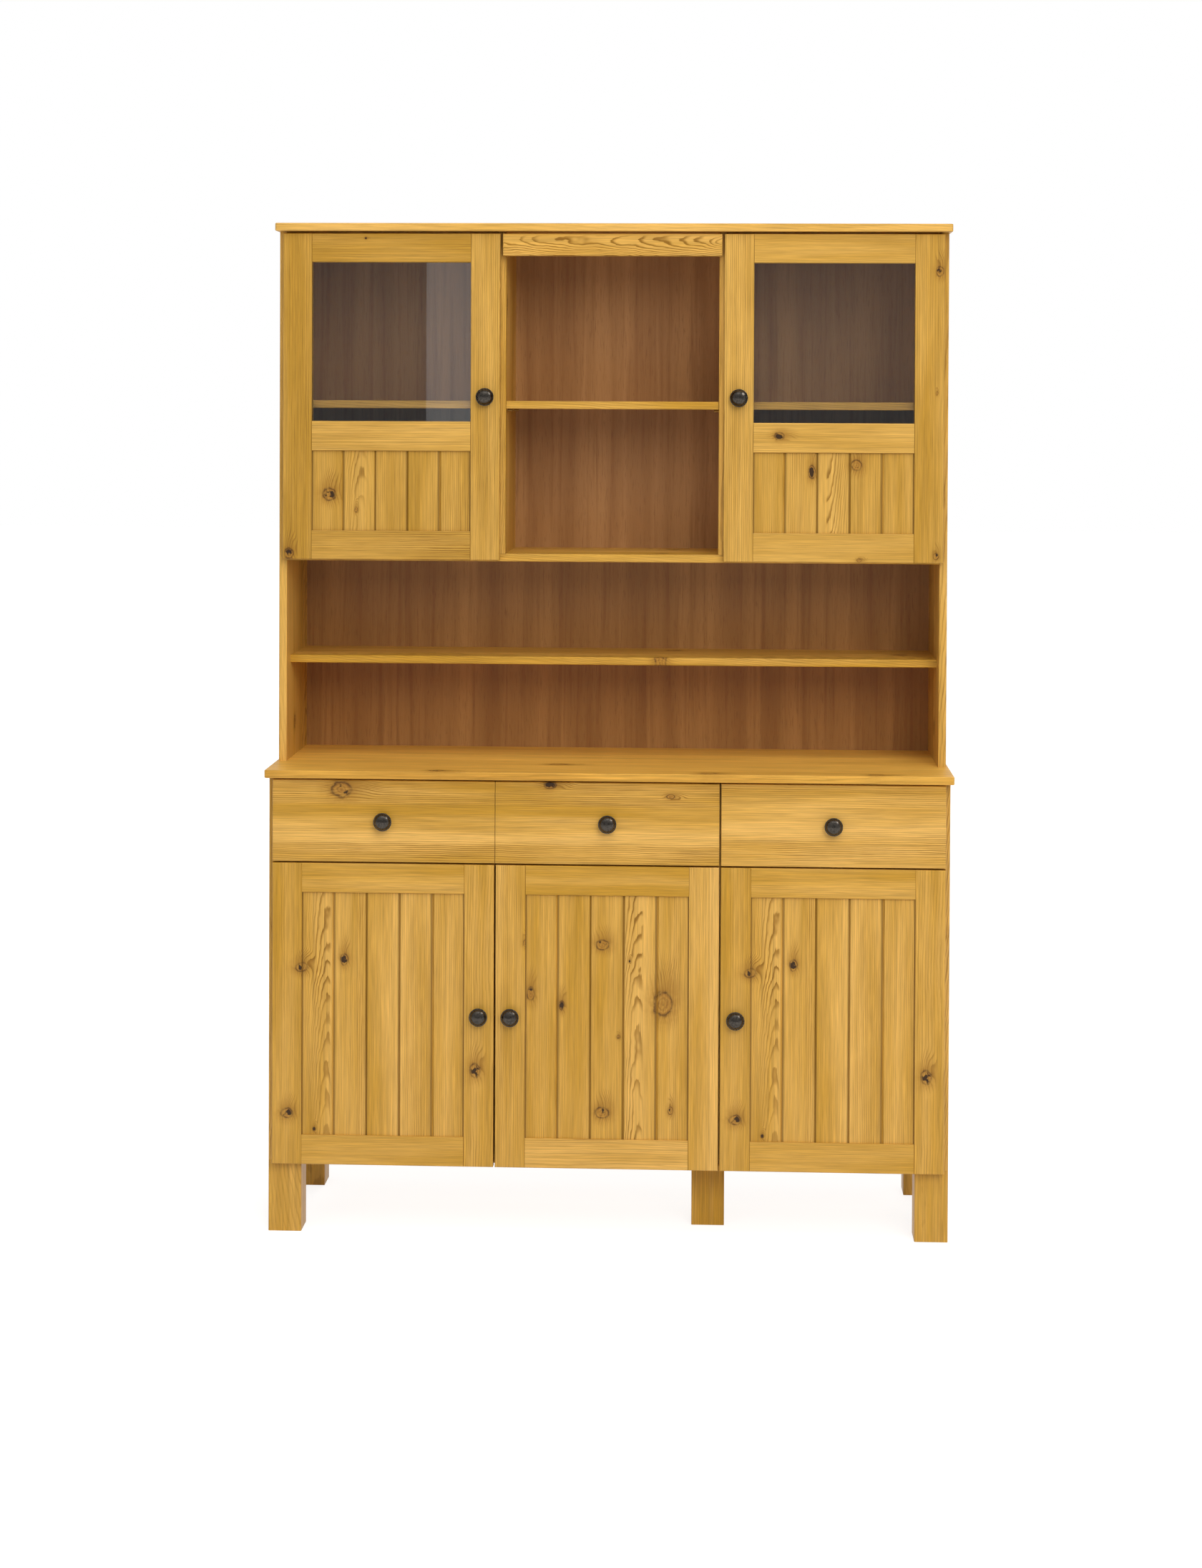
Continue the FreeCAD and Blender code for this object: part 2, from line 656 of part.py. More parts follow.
def glazing(door, opening_width, place):
    """The pane, and the four beads that hold it in its rebate from behind."""
    left, face, bottom = place
    keep(f"{door}_glass", [board(
        f"{door}_glass",
        (f"{opening_width} + 2 * panel_insert", "glass_thickness", "glass_opening_height + 2 * panel_insert"),
        (f"{left} - panel_insert", f"{face} + groove_front", f"{bottom} - panel_insert"))])
    front = f"{face} + groove_front + glass_thickness"
    depth = "door_thickness - groove_front - glass_thickness"
    crossing = (f"{opening_width} + 2 * groove_depth", depth, "groove_depth")
    upright = ("groove_depth", depth, "glass_opening_height")
    rebate_left, rebate_top = f"{left} - groove_depth", f"{bottom} + glass_opening_height"
    keep(f"{door}_beads", [
        board(f"{door}_bead_bottom", crossing, (rebate_left, front, f"{bottom} - groove_depth")),
        board(f"{door}_bead_top", crossing, (rebate_left, front, rebate_top)),
        board(f"{door}_bead_left", upright, (rebate_left, front, bottom)),
        board(f"{door}_bead_right", upright, (f"{left} + {opening_width}", front, bottom)),
    ])


def framed_door(door, hinge, left, bottom, width, height, face, glazed=False):
    """A whole door: frame, panel, any glass, knob on the free side and hinge cups on the other."""
    opening_left = f"{left} + stile_width"
    opening_width = f"{width} - 2 * stile_width"
    middle = f"{bottom} + ({height}) / 2"
    hinge_heights = (f"{bottom} + hinge_end_distance", f"{bottom} + {height} - hinge_end_distance")
    right = f"{left} + {width}"
    cup_middle = f"{left} + cup_edge_distance" if hinge == "left" else f"{right} - cup_edge_distance"
    knob_middle = f"{right} - stile_width / 2" if hinge == "left" else f"{left} + stile_width / 2"
    panel_bottom = f"{bottom} + rail_width"
    panel_height = f"{height} - 2 * rail_width"
    glass_bottom = f"{bottom} + {height} - rail_width - glass_opening_height"
    if glazed:
        panel_height = f"{height} - 2 * rail_width - glass_opening_height - mid_rail_width"

    stiles = []
    for side, stile_left in (("left", left), ("right", f"{right} - stile_width")):
        body = stile(f"{door}_stile_{side}_board", side, height, (stile_left, face, bottom))
        tools = []
        if side == hinge:
            for number, hinge_height in enumerate(hinge_heights, 1):
                tools.append(cup_bore(f"{door}_cup_{number}", cup_middle, hinge_height, face))
        else:
            tools.append(screw_hole(f"{door}_knob", knob_middle, middle, face))
        if glazed:
            lip_left = f"{stile_left} + stile_width - groove_depth" if side == "left" else stile_left
            tools.append(block(
                f"{door}_{side}_rebate",
                ("groove_depth", "groove_width", "glass_opening_height + 2 * groove_depth"),
                (lip_left, f"{face} + groove_back", f"{glass_bottom} - groove_depth")))
        stiles.append(cut_away(f"{door}_stile_{side}", body, tools))
    keep(f"{door}_stiles", stiles)

    bottom_place = (opening_left, face, bottom)
    top_place = (opening_left, face, f"{bottom} + {height} - rail_width")
    under_top = "rebate" if glazed else "groove"
    rails = [
        rail(f"{door}_rail_bottom", "rail_width", opening_width, bottom_place, "plain", "groove"),
        rail(f"{door}_rail_top", "rail_width", opening_width, top_place, under_top, "plain"),
    ]
    if glazed:
        mid_place = (opening_left, face, f"{glass_bottom} - mid_rail_width")
        rails.append(rail(f"{door}_rail_mid", "mid_rail_width", opening_width, mid_place, "groove", "rebate"))
        glazing(door, opening_width, (opening_left, face, glass_bottom))
    keep(f"{door}_rails", rails)

    panel_boards(f"{door}_boards", opening_width, panel_height, (opening_left, face, panel_bottom))
    knob_with_screw(f"{door}_knob", knob_middle, middle, face)
    keep(f"{door}_hinge_cups", [
        hinge_cup(f"{door}_hinge_cup_{number}", cup_middle, hinge_height, face)
        for number, hinge_height in enumerate(hinge_heights, 1)
    ])
    return hinge_heights


def hung_door(door, hinge, wall, left, bottom, width, height, face, front, glazed=False):
    """A door and the two hinge arms on the wall face that carries it."""
    heights = framed_door(door, hinge, left, bottom, width, height, face, glazed)
    for number, place in enumerate(heights, 1):
        hinge_arm(f"{door}_hinge_arm_{number}", wall, 1 if hinge == "left" else -1, place, front)


FRONT_LEFTS = {
    "left": "-outer_half + side_reveal",
    "middle": "-front_width / 2",
    "right": "outer_half - side_reveal - front_width",
}
BASE_HINGES = {
    # The hinged side, and the wall face that carries the hinges
    "left": ("left", "-inner_half"),
    "middle": ("right", "bay_half"),
    "right": ("right", "inner_half"),
}
for name, (hinge, wall) in BASE_HINGES.items():
    hung_door(
        f"base_door_{name}", hinge, wall, FRONT_LEFTS[name], "base_door_bottom", "front_width",
        "base_door_height", "base_face", "base_front")
HUTCH_DOORS = (
    ("left", "-inner_half", "-outer_half + side_reveal"),
    ("right", "inner_half", "outer_half - side_reveal - hutch_door_width"),
)
for name, wall, left in HUTCH_DOORS:
    hung_door(
        f"hutch_door_{name}", name, wall, left, "hutch_door_bottom", "hutch_door_width",
        "hutch_door_height", "hutch_face", "hutch_front", glazed=True)
keep("hinge_arms", arms)

# Drawers and their runners

runners = []


def drawer_side(name, side, left):
    """A side of a drawer box: a runner groove outside, and a groove for the bottom inside."""
    outer, deep, inner, shallow = (
        "0", "runner_groove", "drawer_side_thickness", "drawer_side_thickness - drawer_bottom_groove")
    if side == "right":
        outer, deep, inner, shallow = (
            "drawer_side_thickness", "drawer_side_thickness - runner_groove", "0", "drawer_bottom_groove")
    low = "runner_bottom - box_bottom - runner_clearance"
    high = "runner_bottom - box_bottom + runner_height + runner_clearance"
    bottom_top = "drawer_bottom_rise + drawer_bottom_thickness"
    body = new_body(name, (left, "base_front - door_gap + drawer_length", "box_bottom"))
    sketch = outline(body, FRONT, [
        (outer, "0"), (inner, "0"), (inner, "drawer_bottom_rise"), (shallow, "drawer_bottom_rise"),
        (shallow, bottom_top), (inner, bottom_top), (inner, "drawer_side_height"),
        (outer, "drawer_side_height"), (outer, high), (deep, high), (deep, low), (outer, low),
    ])
    solid = body.newObject("PartDesign::Pad", f"{name}_pad")
    solid.Profile = sketch
    solid.setExpression("Length", bound("drawer_length"))
    return body


def drawer(name, ends, seam, bay_left):
    """A drawer: its front, box, bottom and knob, and the two runners it slides on.

    The front's edges are eased, apart from the end that lies at the seam, if it has one.
    """
    label = f"drawer_{name}"
    left, right = ends
    width = f"{right} - ({left})"
    middle, height = f"{FRONT_LEFTS[name]} + front_width / 2", "drawer_bottom + drawer_front_height / 2"
    front = board(
        f"{label}_front_board", (width, "door_thickness", "drawer_front_height"),
        (left, "base_face", "drawer_bottom"))
    seam_end = {"left": "0", "right": width}.get(seam)
    round_over(front, "edge_round", lambda on: on("y", "0") and not (seam_end and on("x", seam_end)))
    hole = screw_hole(f"{label}_knob", middle, height, "base_face")
    keep(f"{label}_front", [cut_away(f"{label}_front", front, [hole])])

    box_left = f"{bay_left} + drawer_side_gap"
    box_right = f"{box_left} + box_width"
    inside = f"{box_left} + drawer_side_thickness"
    inside_width = "box_width - 2 * drawer_side_thickness"
    rear = "base_front - door_gap + drawer_length"
    over_bottom = "(drawer_bottom_rise + drawer_bottom_thickness)"
    keep(f"{label}_box", [
        drawer_side(f"{label}_side_left", "left", box_left),
        drawer_side(f"{label}_side_right", "right", f"{box_right} - drawer_side_thickness"),
        board(
            f"{label}_back", (inside_width, "drawer_side_thickness", f"drawer_side_height - {over_bottom}"),
            (inside, f"{rear} - drawer_side_thickness", f"box_bottom + {over_bottom}")),
    ])
    reach = "drawer_bottom_groove - runner_clearance"
    keep(f"{label}_bottom", [board(
        f"{label}_bottom",
        (f"{inside_width} + 2 * ({reach})", "drawer_length", "drawer_bottom_thickness"),
        (f"{inside} - ({reach})", "base_front - door_gap", "box_bottom + drawer_bottom_rise"))])
    knob_with_screw(f"{label}_knob", middle, height, "base_face")

    for side, left in (("left", bay_left), ("right", f"{bay_left} + bay_width - runner_thickness")):
        runners.append(board(
            f"{label}_runner_{side}", ("runner_thickness", "runner_length", "runner_height"),
            (left, "base_front + runner_setback", "runner_bottom")))


SEAM_REACH = "(front_gap - drawer_seam) / 2"
LEFT_FRONT_END, MIDDLE_FRONT_END = (f"{FRONT_LEFTS[name]} + front_width" for name in ("left", "middle"))
drawer("left", (FRONT_LEFTS["left"], f"{LEFT_FRONT_END} + {SEAM_REACH}"), "right", "-inner_half")
drawer("middle", (f"{FRONT_LEFTS['middle']} - {SEAM_REACH}", MIDDLE_FRONT_END), "left", "-bay_half")
drawer("right", (FRONT_LEFTS["right"], "outer_half - side_reveal"), None, MIDDLE_RIGHT)
keep("drawer_runners", runners)

# Every feature must have been built before anything is written.
doc.recompute()
for item in doc.Objects:
    if "Invalid" in item.State or "Error" in item.State:
        raise RuntimeError(f"{item.Label} was not built: {item.State}")
for node in nodes:
    if node.Shape.isNull() or not node.Shape.isValid() or not node.Shape.Solids:
        raise RuntimeError(f"{node.Label} has no sound solid")

os.makedirs("parts", exist_ok=True)
for node in nodes:
    node.Shape.exportStep(f"parts/{node.Label}.step")
print(len(nodes), "pieces written")
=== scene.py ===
import math

import bpy
from mathutils import Euler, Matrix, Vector


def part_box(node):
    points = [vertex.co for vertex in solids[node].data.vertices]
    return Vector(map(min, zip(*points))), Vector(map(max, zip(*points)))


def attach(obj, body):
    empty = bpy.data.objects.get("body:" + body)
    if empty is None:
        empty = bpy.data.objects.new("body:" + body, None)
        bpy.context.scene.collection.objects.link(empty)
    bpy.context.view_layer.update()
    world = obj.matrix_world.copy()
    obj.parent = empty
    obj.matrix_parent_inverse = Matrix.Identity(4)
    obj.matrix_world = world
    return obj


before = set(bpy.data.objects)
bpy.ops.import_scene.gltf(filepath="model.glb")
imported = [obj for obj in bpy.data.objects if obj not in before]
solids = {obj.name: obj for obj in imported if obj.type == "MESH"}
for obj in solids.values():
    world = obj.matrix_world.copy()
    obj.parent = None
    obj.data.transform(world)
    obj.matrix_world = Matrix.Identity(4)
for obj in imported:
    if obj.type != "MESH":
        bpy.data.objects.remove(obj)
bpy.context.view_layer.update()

# Looks of a knotty pine dresser with a glazed hutch.
# The frame is in metres: +X right, +Y back to the wall, +Z up. Sizes here are in millimetres, times MM.

scene = bpy.context.scene
MM = 0.001
WHITE = (1, 1, 1, 1)


def linear(code):
    """An sRGB hex colour as linear red, green, blue and alpha."""
    parts = [int(code[place:place + 2], 16) / 255 for place in (1, 3, 5)]
    return [part / 12.92 if part <= 0.04045 else ((part + 0.055) / 1.055) ** 2.4 for part in parts] + [1.0]


def add(tree, kind, inputs=(), **settings):
    """Adds a node with its settings, and links or sets its inputs, in order or by name."""
    made = tree.nodes.new(kind)
    for word, setting in settings.items():
        setattr(made, word, setting)
    if isinstance(inputs, dict):
        pairs = [(made.inputs[name], given) for name, given in inputs.items()]
    else:
        pairs = zip([socket for socket in made.inputs if socket.enabled], inputs)
    for socket, given in pairs:
        if isinstance(given, bpy.types.Node):
            given = next(out for out in given.outputs if out.enabled)
        if isinstance(given, bpy.types.NodeSocket):
            tree.links.new(given, socket)
        elif given is not None:
            socket.default_value = given
    return made


def empty_tree(owner):
    """The tree of a material or a world, with no nodes in it."""
    owner.use_nodes = True
    owner.node_tree.nodes.clear()
    return owner.node_tree


def new_material(name):
    """A material and its empty tree."""
    material = bpy.data.materials.new(name)
    return material, empty_tree(material)


def color_stops(ramp, stops, interpolation="LINEAR"):
    """Gives a colour ramp its stops: place from 0 to 1, linear colour and alpha."""
    ramp.color_ramp.interpolation = interpolation
    elements = ramp.color_ramp.elements
    while len(elements) < len(stops):
        elements.new(1.0)
    while len(elements) > len(stops):
        elements.remove(elements[-1])
    for element, (place, color) in zip(elements, stops):
        element.position, element.color = place, color


def dress(material, *names):
    """Gives solids their finish."""
    for name in names:
        for slot in solids[name].material_slots:
            slot.material = material


# Pine, planed and lacquered: yearly rings round the pith of a log, cut by the faces of each board. Early wood
# is pale, and the thin late wood that ends each year is brown, so the eye sees stripes where the rings stand
# on edge and flames where they lie flat. Rings swell round knots, and painted shade darkens the vees between
# boards and the frames' inner edges.
# Size of each pattern along, across and through the board, and its detail
GRAIN = {
    "sway": ((260, 110, 110), 1.0),
    "ripple": ((48, 24, 24), 2.0),
    "stripe": ((1100, 30, 30), 1.0),
    "blotch": ((300, 28, 28), 2.0),
    "streak": ((260, 5, 5), 1.0),
    "bark": ((12, 10, 10), 2.0),
    # Fibres are finer than this, and are drawn this wide so that they show.
    "fibre": ((60, 1.6, 1.6), 2.0),
}
NOISE_MIDDLE = 0.5
# The log: how far its rings bend, and the least and the range of its tilt and of its pith's place
LOG_SWAY = (0, 4 * MM, 15 * MM)
LOG_RIPPLE = (0, 1.8 * MM, 5 * MM)
PITH_START = (-0.15, -150 * MM, 0)
PITH_RANGE = (0.30, 300 * MM, 100 * MM)
BOARDS_APART = (3.0, 3.0, 3.0)
# The rings: parts of a year in which late wood darkens and ends, and how strongly it shows. Here and below,
# four numbers are a span of a pattern and what its two ends give.
RING_UNEVENNESS, RING_SPELL, RING_FRAY = 5 * MM, 16 * MM, 0.30
DARKENING, YEAR_END = (0.45, 0.88), (0.90, 1.0)
RIPPLE_FADING, SWAY_FADING = (0.35, 0.62, 0.70, 1.1), (0.38, 0.62, 0.65, 1.30)
LINES_NEAR_KNOT = (0.3, 1.1, 0.5, 0.0)
# The wood between: shares of blotch, streak and fibre in its shade, and how rough and uneven they leave it
BLOTCH_SHARE, STREAK_SHARE, FIBRE_SHARE, LEAST_SHADE = 1.3, 0.46, 0.74, 0.40
ROUGHNESS, FIBRE_ROUGHNESS = 0.34, 0.14
LINE_DEPTH, FIBRE_HEIGHT = 0.8, 0.5
# Knots, measured in half widths of each: their reach, their halo and how far it leans up the trunk
KNOT_REACH, NO_KNOT, KNOT_SWELL = 3.0, 9.0, 9 * MM
HALO_LENGTH, HALO_WIDTH, HALO_LEAN, HALO_STAIN = 4.0, 2.2, (1.1, 0.35), 0.42
RAGGEDNESS, BROKEN_RIM = 0.6, (0.38, 0.56, 0.5, 1.0)
ROT_SHARE, ROT_SPOTS, ROT_HEART, ROT_COLOR = 0.30, (0.58, 0.68, 0.0, 0.95), (0.22, 0.34, 1.0, 0.0), "#231104"
# From the heart of a knot outwards: place, colour and cover
KNOT_STOPS = (
    (0.00, "#7E4E16", 0.75), (0.10, "#A8742A", 0.60), (0.15, "#744612", 0.70), (0.21, "#AC782C", 0.55),
    (0.28, "#805017", 0.68), (0.33, "#3E2007", 0.88), (0.36, "#56320C", 0.70), (0.42, "#8C5D17", 0.45),
    (0.62, "#94651A", 0.22), (1.00, "#A87A30", 0.00))
# Painted shade in the vees and along the frames' inner edges: its span of distance and its cover
JOINT_SHADE = (0.10, 1.0, 0.68, 0.0)


def pine_rings():
    """The node group that draws the wood of one board."""
    tree = bpy.data.node_groups.new("pine_rings", "ShaderNodeTree")
    for name, kind in (
            ("Place", "Vector"), ("Local", "Vector"), ("Cut", "Vector"), ("Ring", "Float"),
            ("Contrast", "Float"), ("Band", "Float"), ("Stripe", "Float"), ("Knot", "Float"),
            ("Halo", "Float"), ("Rot", "Float"), ("Joint", "Float"), ("Pale", "Color"), ("Golden", "Color"),
            ("Late", "Color"), ("Joint Shade", "Color")):
        tree.interface.new_socket(name, in_out="INPUT", socket_type=f"NodeSocket{kind}")
    for name, kind in (("Color", "Color"), ("Gloss", "Float"), ("Height", "Float")):
        tree.interface.new_socket(name, in_out="OUTPUT", socket_type=f"NodeSocket{kind}")
    given = add(tree, "NodeGroupInput").outputs

    # Every board comes from its own place in a log.
    log = add(
        tree, "ShaderNodeVectorMath", (given["Cut"], BOARDS_APART, given["Place"]), operation="MULTIPLY_ADD")
    cloud = {}
    for word, (size, detail) in GRAIN.items():
        measured = add(tree, "ShaderNodeMapping", {
            "Vector": log, "Scale": [length * MM for length in size]}, vector_type="TEXTURE")
        cloud[word] = add(
            tree, "ShaderNodeTexNoise", {"Vector": measured, "Scale": 1.0, "Detail": detail}).outputs
    fibre = cloud["fibre"]["Fac"]

    # Distance from the pith, bent by the log's sway and pushed out by knots
    bent = given["Local"]
    for word, reach in (("sway", LOG_SWAY), ("ripple", LOG_RIPPLE)):
        bent = add(
            tree, "ShaderNodeVectorMath", (cloud[word]["Color"], reach, bent), operation="MULTIPLY_ADD")
    bent = add(tree, "ShaderNodeSeparateXYZ", [bent]).outputs
    pith = add(
        tree, "ShaderNodeVectorMath", (given["Cut"], PITH_RANGE, PITH_START), operation="MULTIPLY_ADD")
    pith = add(tree, "ShaderNodeSeparateXYZ", [pith]).outputs
    across = add(tree, "ShaderNodeMath", (bent["Y"], pith["Y"]), operation="SUBTRACT")
    tilted = add(tree, "ShaderNodeMath", (bent["X"], pith["X"], bent["Z"]), operation="MULTIPLY_ADD")
    through = add(tree, "ShaderNodeMath", (tilted, pith["Z"]), operation="ADD")
    spoke = add(tree, "ShaderNodeCombineXYZ", (across, through))
    straight = add(tree, "ShaderNodeVectorMath", [spoke], operation="LENGTH")
    swell = add(
        tree, "ShaderNodeMapRange", (given["Halo"], 0.0, 1.0, KNOT_SWELL, 0.0),
        interpolation_type="SMOOTHSTEP")
    radius = add(tree, "ShaderNodeMath", (straight, swell), operation="SUBTRACT")

    # The years: slow pale growth, then a dark end with a sharp edge
    spell = add(
        tree, "ShaderNodeTexNoise", {"W": radius, "Scale": 1 / RING_SPELL, "Detail": 1.0},
        noise_dimensions="1D")
    grown = add(tree, "ShaderNodeMath", (spell, RING_UNEVENNESS, radius), operation="MULTIPLY_ADD")
    years = add(tree, "ShaderNodeMath", (grown, given["Ring"]), operation="DIVIDE")
    frayed = add(tree, "ShaderNodeMath", (fibre, RING_FRAY, years), operation="MULTIPLY_ADD")
    season = add(tree, "ShaderNodeMath", [frayed], operation="FRACT")
    autumn = add(tree, "ShaderNodeMapRange", (season, *DARKENING, 0.0, 1.0), interpolation_type="SMOOTHSTEP")
    winter = add(tree, "ShaderNodeMapRange", (season, *YEAR_END, 1.0, 0.0), interpolation_type="SMOOTHSTEP")
    late = add(tree, "ShaderNodeMath", (autumn, winter), operation="MULTIPLY")

    # Lines fade and come back along a board, and are clearest where they bow round knots.
    rippled = add(tree, "ShaderNodeMapRange", (cloud["ripple"]["Fac"], *RIPPLE_FADING))
    swayed = add(tree, "ShaderNodeMapRange", (cloud["sway"]["Fac"], *SWAY_FADING))
    faded = add(tree, "ShaderNodeMath", (rippled, swayed), operation="MULTIPLY")
    drawn = add(tree, "ShaderNodeMath", (late, faded), operation="MULTIPLY")
    bowed = add(
        tree, "ShaderNodeMapRange", (given["Halo"], *LINES_NEAR_KNOT), interpolation_type="SMOOTHSTEP")
    shown = add(tree, "ShaderNodeMath", (given["Contrast"], bowed), operation="ADD", use_clamp=True)
    line = add(tree, "ShaderNodeMath", (drawn, shown), operation="MULTIPLY")

    # Broad bands of pale and golden wood
    pale = given["Band"]
    for word, strength in (("stripe", given["Stripe"]), ("blotch", BLOTCH_SHARE)):
        swing = add(tree, "ShaderNodeMath", (cloud[word]["Fac"], NOISE_MIDDLE), operation="SUBTRACT")
        pale = add(tree, "ShaderNodeMath", (swing, strength, pale), operation="MULTIPLY_ADD")
    wood = add(tree, "ShaderNodeMix", (pale, given["Golden"], given["Pale"]), data_type="RGBA")
    ringed = add(tree, "ShaderNodeMix", (line, wood, given["Late"]), data_type="RGBA")
    streaked = add(
        tree, "ShaderNodeMath", (cloud["streak"]["Fac"], STREAK_SHARE, LEAST_SHADE), operation="MULTIPLY_ADD")
    shade = add(tree, "ShaderNodeMath", (fibre, FIBRE_SHARE, streaked), operation="MULTIPLY_ADD")
    fibred = add(tree, "ShaderNodeHueSaturation", {"Color": ringed, "Value": shade})

    # A knot: brown heart with rings of its own, broken rim of bark, black rot in some, and a long halo
    resin = add(
        tree, "ShaderNodeMapRange", (given["Halo"], 0.0, 1.0, HALO_STAIN, 0.0),
        interpolation_type="SMOOTHSTEP")
    haloed = add(tree, "ShaderNodeMix", (resin, fibred, given["Late"]), data_type="RGBA")
    bark = add(tree, "ShaderNodeSeparateXYZ", [cloud["bark"]["Color"]]).outputs
    ragged = add(tree, "ShaderNodeMath", (bark["X"], RAGGEDNESS, given["Knot"]), operation="MULTIPLY_ADD")
    heart_place = RAGGEDNESS * NOISE_MIDDLE
    measured = add(tree, "ShaderNodeMapRange", (ragged, heart_place, KNOT_REACH + heart_place, 0.0, 1.0))
    ramp = add(tree, "ShaderNodeValToRGB", [measured])
    color_stops(ramp, [(place, linear(code)[:3] + [cover]) for place, code, cover in KNOT_STOPS])
    broken = add(tree, "ShaderNodeMapRange", (bark["Y"], *BROKEN_RIM))
    cover = add(tree, "ShaderNodeMath", (ramp.outputs["Alpha"], broken), operation="MULTIPLY")
    knotted = add(tree, "ShaderNodeMix", (cover, haloed, ramp), data_type="RGBA")
    decay = add(tree, "ShaderNodeMath", (given["Rot"], ROT_SHARE, bark["Z"]), operation="MULTIPLY_ADD")
    spots = add(tree, "ShaderNodeMapRange", (decay, *ROT_SPOTS), interpolation_type="SMOOTHSTEP")
    heart = add(tree, "ShaderNodeMapRange", (measured, *ROT_HEART), interpolation_type="SMOOTHSTEP")
    black = add(tree, "ShaderNodeMath", (spots, heart), operation="MULTIPLY")
    rotten = add(tree, "ShaderNodeMix", (black, knotted, linear(ROT_COLOR)), data_type="RGBA")

    # Painted shade darkens the vees between boards and the frames' inner edges.
    shaded_joint = add(tree, "ShaderNodeMapRange", (given["Joint"], *JOINT_SHADE), interpolation_type="SMOOTHSTEP")
    finished = add(tree, "ShaderNodeMix", (shaded_joint, rotten, given["Joint Shade"]), data_type="RGBA")
    sunk = add(tree, "ShaderNodeMath", (line, -LINE_DEPTH), operation="MULTIPLY")
    height = add(tree, "ShaderNodeMath", (fibre, FIBRE_HEIGHT, sunk), operation="MULTIPLY_ADD")
    gloss = add(tree, "ShaderNodeMath", (fibre, FIBRE_ROUGHNESS, ROUGHNESS), operation="MULTIPLY_ADD")
    add(tree, "NodeGroupOutput", (finished, gloss, height))
    return tree


RINGS = pine_rings()

# How a board lies: the turn that brings its length to X, its width to Y and its thickness to Z
UPRIGHT_FRONT = (math.radians(90), 0, math.radians(90))
LEVEL_FRONT = (math.radians(-90), 0, 0)
UPRIGHT_SIDE = (0, math.radians(90), 0)
DEEP_SIDE = (math.radians(-90), math.radians(-90), 0)
FLAT = (0, 0, 0)

# Honey lacquer darkens pine to gold. The hutch's doors are drawn darker still, which is painted shade, and
# the counter paler and warmer, which is painted light: the sheen of its top and warm light bounced from the
# brown backs. Bare pine inside the drawers stays pale.
LACQUERED = {"Pale": "#DEAE5B", "Golden": "#B98A2A", "Late": "#8D6119", "Joint Shade": "#644310"}
IN_SHADE = {"Pale": "#D4A653", "Golden": "#AF832C", "Late": "#855B17", "Joint Shade": "#5E3F0F"}
BOUNCE_WARMED = {**LACQUERED, "Pale": "#EFB953", "Golden": "#C48F36"}
BARE = {"Pale": "#EBD2A4", "Golden": "#DFC08A", "Late": "#C39A5E", "Joint Shade": "#8A6A3A"}
LACQUER_IOR, LACQUER_SHINE = 1.5, 0.3
RELIEF_STRENGTH, RELIEF_DEPTH = 0.3, 0.3 * MM
# Where no cuts or bands are given: width of rings, paleness, stripes and how strongly rings show
USUAL_RING, USUAL_BAND, USUAL_STRIPE, USUAL_CONTRAST = 4.5 * MM, 0.5, 1.4, (0.15, 0.65)
BANDED_STRIPE = 0.5
# Longer than any board, in metres, and farther than any joint's painted shade, in half widths of a joint
UNSPLIT, NO_JOINT = 20.0, 9.0
# Knots strewn by chance: the cell for each, and half its length and width
STRAY_CELL, STRAY_HALF = (420, 140), (11, 9)
# Rot fades from a knot's heart outwards.
ROT_FADE = (0.4, 1.3)


